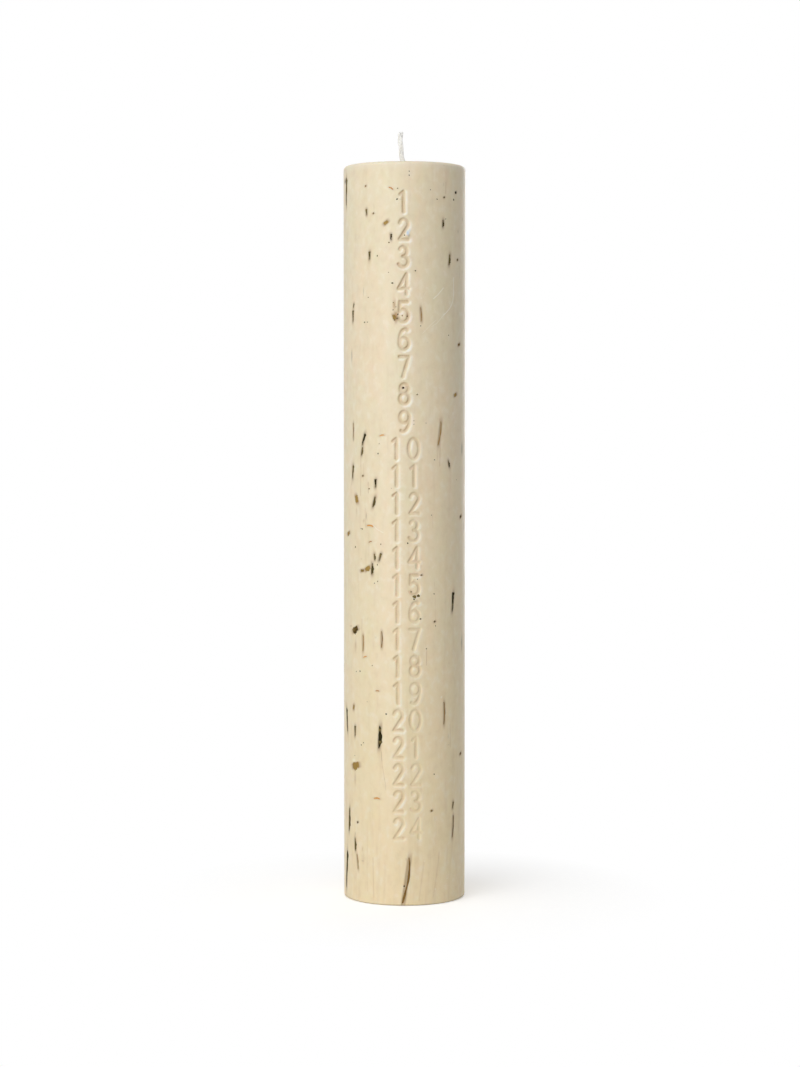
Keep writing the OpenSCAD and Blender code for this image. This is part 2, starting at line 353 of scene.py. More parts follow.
@dataclass(frozen=True)
class CastWax:
    """Paraffin and stearin wax, poured into a tube mould and dyed faintly cream.

    Light goes a few millimetres into it, so pressed edges look soft and warm, and the
    skin that lay on the mould has a broad, soft shine with faint vertical clouds.
    """

    cream: str = "#E9DCBF"
    rosy: str = "#EBD9BA"
    green: str = "#E6DAB9"
    warm: str = "#F3DFB4"
    # Colour of the shade painted into the pressed grooves
    groove_shade: str = "#BF9560"
    # Colour of tan stains, and of the shade painted above and left of the strokes
    tan: str = "#A87B43"
    # Colour of buried crumbs seen through the wax, and of the contact shadow painted along the foot
    buried: str = "#66593E"
    # Colour of pale frost and scratches, and of the highlight painted below and right of the
    # strokes
    frost: str = "#FBF6EA"
    # Colour of the glint, a reflection painted into the wax
    glint: str = "#C4D3E4"
    # Colour of the highlight painted along the rim, whose rounding catches the light
    rim: str = "#EDE3D0"
    # How far light goes into it
    depth: float = 1.6 * MM
    # Sizes of the tints that drift over it, its patches of shine, clouds and runs
    drift_mm: Size = (12, 12, 50)
    patch_mm: Size = (4, 4, 9)
    cloud_mm: Size = (2.6, 2.6, 3.6)
    run_mm: Size = (2.6, 2.6, 24)
    # Sizes of the broad hollows that the mould left and of the fine pores in the skin
    hollow_mm: Size = (7, 7, 34)
    pore_mm: Size = (0.9, 0.9, 1.6)
    # Heights at which the warm foot and its runs end, and the highlight painted on the rim starts
    # and is full
    warm_top: float = 220 * MM
    runs_top: float = 100 * MM
    rim_highlight_from: float = 296 * MM
    rim_highlight_full: float = 299.5 * MM
    # Strength of the highlight painted below and right of the strokes, and of the shade
    # painted above and left of them, as light from the upper left falls
    painted_highlight: float = 0.95
    painted_shade: float = 0.6

    def make(self) -> bpy.types.Material:
        """Builds the material.

        Returns:
            The material.
        """
        wax = Finish("cast_wax")
        place = wax.add("ShaderNodeTexCoord", {}, "Object")
        height = wax.add("ShaderNodeSeparateXYZ", {0: place}, "Z")
        patches, clouds = wax.grain(self.patch_mm, 3), wax.grain(self.cloud_mm, 3)
        sinking = {0: height, 1: 0.0, 2: self.warm_top, 3: 1.0, 4: 0.0}
        warmth = wax.add("ShaderNodeMapRange", sinking)
        fading = {0: height, 1: 0.0, 2: self.runs_top, 3: 1.0, 4: 0.85}
        flow = {0: wax.add("ShaderNodeMapRange", fading), 1: wax.grain(self.run_mm, 4)}
        runs = wax.add("ShaderNodeMath", flow, operation="MULTIPLY")
        # The attribute tints: the grooves are painted darker as shade, and besides their stains tan
        # carries painted shade, frost a painted highlight, buried a painted contact shadow, and
        # glint is a painted reflection
        stains = [
            (code, wax.add("ShaderNodeAttribute", {}, "Fac", attribute_name=name), 0, 1, most)
            for name, code, most in (
                ("press", self.groove_shade, 0.3),
                ("tan", self.tan, 1.0),
                ("buried", self.buried, 1.0),
                ("frost", self.frost, 1.0),
                ("glint", self.glint, 1.0),
            )
        ]
        colour = linear(self.rosy)
        # Each layer is a colour, the value that it follows, where it starts and is full, and
        # how strong it is then
        for layer in (
            (self.green, wax.grain(self.drift_mm, 3), 0.35, 0.65, 1),
            (self.cream, patches, 0.3, 0.7, 0.8),
            # The wax turns warmer towards the foot
            (self.warm, warmth, 0, 1, 0.6),
            (self.frost, clouds, 0.5, 0.72, 0.2),
            (self.tan, clouds, 0.48, 0.28, 0.07),
            # Thin runs of darker wax, where it flowed down the cold mould
            (self.tan, runs, 0.46, 0.72, 0.12),
            *stains,
            # Highlight painted along the top rim, whose rounding catches the light
            (self.rim, height, self.rim_highlight_from, self.rim_highlight_full, 0.5),
        ):
            colour = wax.tint(colour, *layer)
        shine = wax.add("ShaderNodeMapRange", {0: patches, 1: 0.3, 2: 0.7, 3: 0.42, 4: 0.52})
        hollows, pores = wax.grain(self.hollow_mm, 1), wax.grain(self.pore_mm, 4)
        broad = {"Height": hollows, "Strength": 0.35, "Distance": 0.25 * MM}
        broad = wax.add("ShaderNodeBump", broad)
        fine = {"Height": pores, "Strength": 0.22, "Distance": 0.05 * MM, "Normal": broad}
        return wax.finish(
            {
                "Base Color": colour,
                "Roughness": shine,
                "Normal": wax.add("ShaderNodeBump", fine),
                "IOR": 1.44,
                "Specular IOR Level": 0.65,
                "Subsurface Weight": 0.35,
                "Subsurface Radius": (1.0, 0.62, 0.36),
                "Subsurface Scale": self.depth,
            }
        )


@dataclass(frozen=True)
class DriedPlant:
    """Dried and chopped plant matter, matt, with fibres or veins along each piece.

    The wax has soaked into it, so it is darker than when dry and has a faint shine.
    """

    name: str
    dark: str
    light: str
    edge: str
    fibre_mm: Size
    light_share: float = 0.5
    blotch_mm: Size = (1.6, 1.6, 1.6)

    def make(self) -> bpy.types.Material:
        """Builds the material.

        Returns:
            The material.
        """
        plant = Finish(self.name)
        fibres = plant.grain(self.fibre_mm, 4)
        tone = plant.add("ShaderNodeAttribute", {}, "Fac", attribute_name="tone")
        spread = plant.add("ShaderNodeMath", {0: tone, 1: fibres}, operation="ADD")
        low = 1.25 - self.light_share
        colour = plant.tint(linear(self.dark), self.light, spread, low - 0.35, low + 0.35, 1)
        colour = plant.tint(colour, self.edge, plant.grain(self.blotch_mm, 2), 0.55, 0.75, 0.6)
        relief = {"Height": fibres, "Strength": 0.5, "Distance": 0.06 * MM}
        return plant.finish(
            {
                "Base Color": colour,
                "Normal": plant.add("ShaderNodeBump", relief),
                "Roughness": 0.75,
                "IOR": 1.46,
                "Specular IOR Level": 0.08,
            }
        )


@dataclass(frozen=True)
class WaxedCotton:
    """Bleached cotton yarn, soaked in wax, off-white with a soft sheen and fine fibres."""

    light: str = "#FFFFFD"
    shade: str = "#F6F5EF"
    yarn: float = 0.16 * MM
    fibre_mm: Size = (0.6, 0.6, 1.2)

    def make(self) -> bpy.types.Material:
        """Builds the material. Its yarns run along the strands by the UV map.

        Returns:
            The material.
        """
        cotton = Finish("waxed_cotton")
        lay = cotton.add("ShaderNodeUVMap", {}, uv_map="lay")
        # The wave texture repeats every 0.05 units at a scale of one
        turns = {"Vector": lay, "Scale": 0.05 / self.yarn, "Distortion": 1.2}
        yarns = cotton.add("ShaderNodeTexWave", turns, "Fac", bands_direction="X")
        both = {0: yarns, 1: cotton.grain(self.fibre_mm, 2)}
        ridges = cotton.add("ShaderNodeMath", both, operation="ADD")
        relief = {"Height": ridges, "Strength": 0.4, "Distance": 0.04 * MM}
        return cotton.finish(
            {
                "Base Color": cotton.tint(linear(self.shade), self.light, ridges, 0.35, 1.3, 1),
                "Normal": cotton.add("ShaderNodeBump", relief),
                "Roughness": 0.62,
                "Sheen Weight": 0.5,
                "Subsurface Weight": 0.2,
                "Subsurface Radius": (1.0, 0.95, 0.9),
                "Subsurface Scale": 0.4 * MM,
            }
        )


@dataclass(frozen=True)
class StampedTinplate:
    """Thin steel sheet with a bright tin coat, scuffed by the press tool and dulled by wax."""

    tin: str = "#C9CBCC"
    dull: str = "#9DA0A1"
    scuff_mm: Size = (0.12, 3.0, 1.0)
    spangle_mm: Size = (2.5, 2.5, 2.5)

    def make(self) -> bpy.types.Material:
        """Builds the material.

        Returns:
            The material.
        """
        tin = Finish("stamped_tinplate")
        scuffs, spangle = tin.grain(self.scuff_mm, 3), tin.grain(self.spangle_mm, 3)
        shine = {0: scuffs, 1: 0.35, 2: 0.65, 3: 0.28, 4: 0.5}
        relief = {"Height": scuffs, "Strength": 0.2, "Distance": 0.02 * MM}
        return tin.finish(
            {
                "Base Color": tin.tint(linear(self.tin), self.dull, spangle, 0.4, 0.62, 1),
                "Roughness": tin.add("ShaderNodeMapRange", shine),
                "Normal": tin.add("ShaderNodeBump", relief),
                "Metallic": 1.0,
            }
        )


# The numbers


def arc(cx: float, cy: float, rx: float, ry: float, start: float, end: float) -> Path:
    """Points along part of an oval, in the unit box of a digit.

    Args:
        cx: Middle of the oval across.
        cy: Middle of the oval upwards.
        rx: Half its width.
        ry: Half its height.
        start: Angle of the first point in degrees.
        end: Angle of the last point in degrees.

    Returns:
        The points.
    """
    steps = math.ceil(abs(end - start) / 10)
    angles = [math.radians(start + (end - start) * k / steps) for k in range(steps + 1)]
    return [(cx + rx * math.cos(a), cy + ry * math.sin(a)) for a in angles]


def oval(cx: float, cy: float, rx: float, ry: float) -> Path:
    """Points round a whole oval, as arc gives them."""
    return arc(cx, cy, rx, ry, 90, 450)


SIX_TAIL = arc(0.3, -0.2, 1.3, 1.2, 192, 72)
DIGITS: tuple[list[Path], ...] = (
    [oval(0, 0, 1, 1)],
    [[(-0.6, 0.74), (0.08, 1)], [(0.08, 1), (0.08, -1)]],
    [arc(0.1, 0.5, 0.9, 0.5, 165, -35) + [(-0.8, -1)], [(-0.8, -1), (1, -1)]],
    [arc(-0.1, 0.52, 0.78, 0.48, 150, -90), arc(-0.1, -0.48, 1.05, 0.52, 90, -150)],
    [[(0.6, 1), (-1.1, -0.42)], [(-1.1, -0.42), (1, -0.42)], [(0.6, 1), (0.6, -1)]],
    [
        [(0.75, 1), (-0.8, 1)],
        [(-0.8, 1), (-0.88, 0.06)],
        arc(-0.1, -0.38, 1.05, 0.62, 135, -150),
    ],
    [SIX_TAIL, oval(0, -0.42, 1, 0.58)],
    [[(-1, 1), (1, 1)], [(1, 1), (-0.3, -1)]],
    [oval(0, 0.53, 0.86, 0.47), oval(0, -0.47, 1, 0.53)],
    [[(-x, -y) for x, y in SIX_TAIL], oval(0, 0.42, 1, 0.58)],
)


@dataclass
class PressedNumbers:
    """The days of the calendar, as the middle lines of strokes on the side of the candle."""

    last_day: int = 24
    radius: float = RADIUS
    first_height: float = 283.7 * MM
    last_height: float = 31.5 * MM
    # Half a digit's height and width, and a nought's width, between the middles of strokes,
    # and the distance from tens to ones
    half_height: float = 4.0 * MM
    half_width: float = 1.9 * MM
    half_nought: float = 2.1 * MM
    digit_step: float = 7.2 * MM
    # Turn of the first row from straight ahead, and how much more the last has, in degrees
    turn_start: float = -1.2
    turn_spread: float = 4.0
    depth: float = 0.6 * MM
    # About how long the pieces are that a stroke is cut into
    stroke_step: float = 0.3 * MM
    # The punch was never quite level, so the depth wanders by this share over this length
    uneven: float = 0.35
    wander: float = 3.5 * MM
    # How much shallower the last row is pressed than the first, for its tens and its ones
    fade_first: float = 0.35
    fade_second: float = 0.55
    points: list[tuple[float, float]] = field(default_factory=list)
    edges: list[tuple[int, int]] = field(default_factory=list)
    shares: list[float] = field(default_factory=list)

    def __post_init__(self) -> None:
        """Lays out every digit on the unrolled side."""
        side = math.degrees(math.asin(self.digit_step / 2 / self.radius))
        for day in range(1, self.last_day + 1):
            row = (day - 1) / (self.last_day - 1)
            turn = self.turn_start + self.turn_spread * row
            height = self.first_height + (self.last_height - self.first_height) * row
            first = 1 - self.fade_first * row
            second = 1 - self.fade_second * row
            if day < 10:
                self.lay_digit(day, turn, height, first)
            else:
                self.lay_digit(day // 10, turn - side, height, first)
                self.lay_digit(day % 10, turn + side, height, second)

    def lay_digit(self, digit: int, turn: float, height: float, share: float) -> None:
        """Adds the strokes of one digit.

        Args:
            digit: Which digit.
            turn: Turn of its middle from straight ahead, in degrees.
            height: Height of its middle.
            share: Share of the full depth that it is pressed to.
        """
        half = self.half_nought if digit == 0 else self.half_width
        for path in DIGITS[digit]:
            corners = [(x * half, y * self.half_height) for x, y in path]
            line = [corners[0]]
            for here, there in zip(corners, corners[1:]):
                steps = max(1, round(math.dist(here, there) / self.stroke_step))
                for k in range(1, steps + 1):
                    line.append(tuple(a + (b - a) * k / steps for a, b in zip(here, there)))
            first = len(self.points)
            for x, y in line:
                across = self.radius * (math.radians(turn) + math.asin(x / self.radius))
                self.points.append((across, height + y))
                place = Vector((across, height + y, 0.0)) / self.wander
                self.shares.append(share * (1 - self.uneven * (0.5 + noise.noise(place))))
            self.edges += [(first + k, first + k + 1) for k in range(len(line) - 1)]

    def lines(self, radius: float) -> bpy.types.Object:
        """Wraps the strokes round the candle as loose edges.

        Args:
            radius: Radius of the surface that they are pressed into.

        Returns:
            Object that holds the edges and each point's share of the depth.
        """
        across, height = np.array(self.points).T
        points = wrap(radius, across / self.radius, height)
        mesh = mesh_from("number_lines", points, [], self.edges)
        set_values(mesh, "share", self.shares)
        return new_object("number_lines", mesh)


# Crumbs of dried plants


class Form(Enum):
    """Outlines that a crumb can have."""

    SLIVER = "sliver"
    STEM = "stem"
    CHUNK = "chunk"
    PETAL = "petal"
    SEED = "seed"


class Mark(Enum):
    """Kinds of mark on the wax, each an attribute of its skin: stains, and painted light and shade.
    """

    # Tan stains, and also the shade painted above and left of the strokes
    TAN = "tan"
    # Buried crumbs seen through the wax, and also a contact shadow painted along the foot
    BURIED = "buried"
    # Pale frost and scratches, and also the highlight painted below and right of the strokes
    FROST = "frost"
    # A glint, a reflection painted into the wax
    GLINT = "glint"


# How strongly the wax round a crumb is stained, and how far in millimetres
HALOS: dict[Form, tuple[tuple[Mark, float, float], ...]] = {
    Form.SLIVER: ((Mark.BURIED, 0.5, 0.4), (Mark.TAN, 0.42, 0.75)),
    Form.STEM: ((Mark.TAN, 0.5, 0.55), (Mark.BURIED, 0.35, 0.3)),
    Form.CHUNK: ((Mark.TAN, 0.6, 0.7), (Mark.BURIED, 0.4, 0.35)),
    Form.PETAL: ((Mark.TAN, 0.3, 0.6),),
    Form.SEED: ((Mark.TAN, 0.45, 0.5), (Mark.BURIED, 0.3, 0.25)),
}


@dataclass(frozen=True)
class Spot:
    """Where one crumb lies on the unrolled side, and the size of its outline."""

    across: float
    height: float
    length: float
    width: float
    lean: float
    form: Form

    def local(self, across: np.ndarray, height: np.ndarray) -> tuple[np.ndarray, np.ndarray]:
        """Gives places on the side as seen along and across this crumb.

        Args:
            across: Places along the unrolled side.
            height: Their heights.

        Returns:
            Distances across and along the crumb from its middle.
        """
        dx, dz = across - self.across, height - self.height
        cos, sin = math.cos(self.lean), math.sin(self.lean)
        return dx * cos + dz * sin, dz * cos - dx * sin


@dataclass
class CrumbKind:
    """All crumbs of one kind, laid where the CAD node of that kind has them."""

    node: str
    slot: str
    form: Form
    finish: DriedPlant
    # How uneven the outline is, as a share of the half width
    ragged: float
    rows: int = 16
    variants: int = 4
    radius: float = RADIUS
    foot: float = FOOT
    dome: float = 0.15 * MM
    # The rim of a flake dips under the wax, so it is made larger than it shows
    swell: float = 1.12
    # A crumb at the foot ends this far above the floor
    floor_gap: float = 0.03 * MM
    # Half of a flake's section, from its back: share of the half width and of the dome
    half_ring: Rows = ((-0.75, 2.6), (-1, 1), (-0.75, 0.32), (-0.35, 0.02))
    # Where each sliver is widest, from -1 to 1, and how blunt its low and high ends are
    tapers: Rows = ((0.4, 1.5, 3), (-0.3, 3, 1.4), (0.1, 1.7, 1.7), (0.7, 1.3, 6))

    def spots(self) -> list[Spot]:
        """Measures the outline of each solid of the CAD node.

        Returns:
            One spot a solid.
        """
        shape = bmesh.new()
        shape.from_mesh(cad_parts[self.node].data)
        bmesh.ops.remove_doubles(shape, verts=shape.verts, dist=1e-6)
        left = set(shape.verts)
        found = []
        while left:
            queue = [left.pop()]
            group = []
            while queue:
                corner = queue.pop()
                group.append(corner)
                others = {edge.other_vert(corner) for edge in corner.link_edges} & left
                left -= others
                queue += others
            found.append(self.measure(np.array([tuple(v.co) for v in group])))
        shape.free()
        return sorted(found, key=lambda s: (s.height, s.across))

    def measure(self, points: np.ndarray) -> Spot:
        """Finds the slimmest box round one crumb on the unrolled side.

        Args:
            points: Points of the crumb.

        Returns:
            Its spot, turned so that a bowed crumb bows to its own right.
        """
        angles = np.arctan2(points[:, 0], -points[:, 1])
        middle = math.atan2(np.sin(angles).mean(), np.cos(angles).mean())
        turned = (angles - middle + math.pi) % (2 * math.pi) - math.pi
        across, height = turned * self.radius, points[:, 2]
        best = None
        for lean in np.radians(np.arange(-88, 92, 4)):
            cos, sin = math.cos(lean), math.sin(lean)
            x, z = across * cos + height * sin, height * cos - across * sin
            wide, tall = np.ptp(x), np.ptp(z)
            if wide <= tall * 1.0001 and (best is None or wide * tall < best[0]):
                mid_x, mid_z = (x.max() + x.min()) / 2, (z.max() + z.min()) / 2
                waist = x[np.abs(z - mid_z) < 0.3 * tall]
                best = (wide * tall, wide, tall, lean, mid_x, mid_z, waist.mean() < mid_x)
        _, wide, tall, lean, mid_x, mid_z, flipped = best
        return Spot(
            across=middle * self.radius + mid_x * math.cos(lean) - mid_z * math.sin(lean),
            height=mid_x * math.sin(lean) + mid_z * math.cos(lean),
            length=tall,
            width=wide,
            lean=lean + math.pi * (flipped and self.form in (Form.STEM, Form.PETAL)),
            form=self.form,
        )

    def section(self, t: float, variant: int) -> tuple[float, float]:
        """Gives the flake's middle and half width at a place along it.

        Args:
            t: Place from -1 at one end to 1 at the other.
            variant: Which of the kind's flakes.

        Returns:
            Middle across and half width, in a box of one by one.
        """
        ripple = self.ragged * noise.noise(Vector((3.1 * t, 7.7 * variant, 0.5)))
        rough = self.ragged * noise.noise(Vector((9.3 * t, 7.7 * variant, 4.5)))
        blunt = max(1 - abs(t) ** 3, 0.0) ** 0.5
        widest, low_end, high_end = self.tapers[variant]
        share = abs(t - widest) / (1 - widest if t > widest else 1 + widest)
        taper = max(1 - share ** (high_end if t > widest else low_end), 0.0) ** 0.9
        middle, half = {
            Form.SLIVER: (0.14 * math.sin(2.2 * t + variant), 0.52 * taper),
            Form.STEM: (
                0.5 * (1 - t * t) * (1 + 0.3 * t) - 0.24,
                blunt * (0.2 + 0.05 * math.sin(7 * t + variant)),
            ),
            Form.CHUNK: (0.05 * math.sin(3 * t + variant), 0.5 * blunt),
            Form.PETAL: (0.17 - 0.34 * t * t, 0.32 * blunt),
            Form.SEED: (0.0, 0.5 * max(1 - t * t, 0.0) ** 0.5),
        }[self.form]
        return middle + 0.25 * rough, max(half * (1 + ripple + rough), 0.0)

    def flake(self, variant: int) -> bpy.types.Object:
        """Makes a crumb that is repeated: a domed flake in a box of one by one.

        Args:
            variant: Which of the kind's flakes.

        Returns:
            Object that holds it, with its thickness along Y.
        """
        ring = [*self.half_ring, (0, 0), *((-x, drop) for x, drop in reversed(self.half_ring))]
        points = []
        for row in range(self.rows + 1):
            # Rows crowd towards the ends, which are rounded
            t = math.sin(math.pi * (row / self.rows - 0.5))
            middle, half = self.section(t, variant)
            for x, drop in ring:
                fall = max(drop, 0.9 * abs(t) ** 8) * self.dome
                points.append((middle + half * x, -fall, t / 2))
        count = len(ring)
        faces = ring_faces(self.rows + 1, count)
        faces += [tuple(range(count))[::-1], tuple(range(self.rows * count, len(points)))]
        mesh = mesh_from(f"flake_{variant}", points, faces)
        shape = bmesh.new()
        shape.from_mesh(mesh)
        bmesh.ops.remove_doubles(shape, verts=shape.verts, dist=1e-5)
        bmesh.ops.recalc_face_normals(shape, faces=shape.faces)
        shape.to_mesh(mesh)
        shape.free()
        return new_object(mesh.name, mesh)

    def tree(self) -> Shaping:
        """Builds the tree that lays the flakes on their spots.

        Returns:
            The tree.
        """
        flakes = [f"Flake {k}" for k in range(self.variants)]
        shaping = Shaping("lay_crumbs", {name: "Object" for name in flakes})
        add, value = shaping.add, "GeometryNodeInputNamedAttribute"
        choice = add("GeometryNodeJoinGeometry", {})
        for name in reversed(flakes):
            flake = {"Object": shaping.given(name), "As Instance": True}
            flake = add("GeometryNodeObjectInfo", flake, "Geometry")
            shaping.tree.links.new(flake, choice.node.inputs[0])
        lean = add(value, {"Name": "lean"}, data_type="FLOAT")
        laid = {
            "Points": shaping.given("Geometry"),
            "Instance": choice,
            "Pick Instance": True,
            "Instance Index": add(value, {"Name": "pick"}, data_type="INT"),
            "Rotation": add("ShaderNodeCombineXYZ", {"Y": lean}),
            "Scale": add(value, {"Name": "size"}, data_type="FLOAT_VECTOR"),
        }
        shaping.finish(add("GeometryNodeInstanceOnPoints", laid))
        return shaping

    def build(self, name: str, spots: list[Spot]) -> bpy.types.Object:
        """Lays a flake on each spot and wraps them round the candle.

        Args:
            name: Name of the piece.
            spots: Where the crumbs lie.

        Returns:
            The finished piece.
        """
        mesh = mesh_from(name + "_spots", [(s.across, 0.0, s.height) for s in spots], [])
        sizes = [(s.width * self.swell, 1.0, s.length * self.swell) for s in spots]
        set_values(mesh, "size", sizes, "FLOAT_VECTOR")
        set_values(mesh, "lean", [-s.lean for s in spots])
        set_values(mesh, "pick", [k % self.variants for k in range(len(spots))], "INT")
        set_values(mesh, "tone", [(0.6180 * k + 0.3) % 1.0 for k in range(len(spots))])
        values: dict[str, Any] = {f"Flake {k}": self.flake(k) for k in range(self.variants)}
        values["Material"] = self.finish.make()
        piece = self.tree().bake(name, new_object(name + "_spots", mesh), values)
        across, deep, height = read_rows(piece.data.vertices, "co").T
        # A crumb at the foot follows its rounding
        height = np.maximum(height, self.floor_gap)
        low = 1 - np.clip(height / self.foot, 0, 1)
        reach = self.radius + np.minimum(deep, 0) - self.foot * (1 - np.sqrt(1 - low * low))
        wrapped = wrap(reach, across / self.radius, height)
        piece.data.vertices.foreach_set("co", wrapped.astype(np.float32).ravel())
        piece.data.update()
        return piece


# Specks of plant dust, too small for a solid of their own: across, height and size in mm
DUST = (
    (-3, 284.7, 0.8), (-2.8, 289, 0.5), (1.9, 295.8, 0.5), (1.9, 294.2, 0.5), (13.8, 285, 0.6),
    (23, 285.3, 0.9), (10.8, 288.6, 0.4), (18.2, 277.3, 0.5), (-4.9, 251.3, 0.8),
    (-6.3, 267.5, 0.7), (-11.3, 262.3, 0.7), (4.4, 256.2, 0.6), (-6.5, 255.6, 0.4),
    (-17.5, 235.8, 0.7), (-16, 235.9, 0.5), (-15.6, 245.8, 0.5), (6.6, 234.2, 0.45),
    (-0.9, 238.3, 0.6), (1.1, 238, 0.55), (-2.6, 238.8, 0.8), (-3, 237.2, 0.7), (-3.9, 236.5, 0.6),
    (-4.5, 243.5, 0.5), (-4.6, 240.6, 0.5), (-3.4, 241.8, 0.4), (5.2, 206.7, 0.7),
    (8.9, 195.3, 0.4), (3.8, 196.2, 0.4), (3.8, 194.8, 0.4), (-11, 183, 0.6), (-10.5, 187, 0.4),
    (-15.2, 168.8, 0.7), (12.7, 180.5, 0.5), (-18.9, 152.5, 0.7), (-19.6, 152.6, 0.4),
    (-23.1, 145, 0.8), (-9.8, 146.5, 0.6), (1.3, 147, 0.7), (4.1, 125.3, 1.6), (5.7, 125.7, 1.3),
    (3.9, 124.4, 0.8), (2.7, 127.4, 0.5), (5.3, 132.5, 0.5), (-11.3, 138.2, 0.6),
    (-11.2, 131.5, 0.5), (-12.7, 130.7, 0.4), (12.5, 126.4, 0.6), (6.6, 116.4, 0.7),
    (13.2, 113.4, 0.5), (9.1, 104.3, 0.5), (-20.2, 94.6, 0.7), (-22.5, 94.3, 0.5),
    (-13.7, 97.3, 0.5), (-7.5, 77.9, 0.7), (-19.5, 64.6, 0.6), (-18.2, 65.6, 0.5),
    (12.6, 53.2, 0.6), (0.1, 270.3, 0.6), (-0.1, 8.1, 0.8), (-23.6, 59.9, 0.4), (-16.2, 82.4, 0.3),
    (19.9, 230.7, 0.5), (25.3, 172.3, 0.4), (11.3, 158.2, 0.4), (-5.3, 169.1, 0.3),
)


BACK_SPECKS = 70


def dust_spots() -> list[Spot]:
    """Lists the specks of the front and an even scatter of them over the back.

    Returns:
        Their spots.
    """
    specks = [(x, z, d, 0.3 * x) for x, z, d in DUST]
    half_turn = math.pi * RADIUS / MM
    for k in range(1, BACK_SPECKS + 1):
        # Steps that have no common measure keep the scatter even without a random draw
        across = half_turn * (0.52 + 0.96 * ((0.7549 * k) % 1.0))
        height = 6 + 288 * ((0.5698 * k) % 1.0)
        specks.append((across, height, 0.35 + 0.35 * ((0.3819 * k) % 1.0), 0.7 * k))
    return [
        Spot(x * MM, z * MM, d * MM, 0.8 * (d * MM), lean, Form.SEED) for x, z, d, lean in specks
    ]


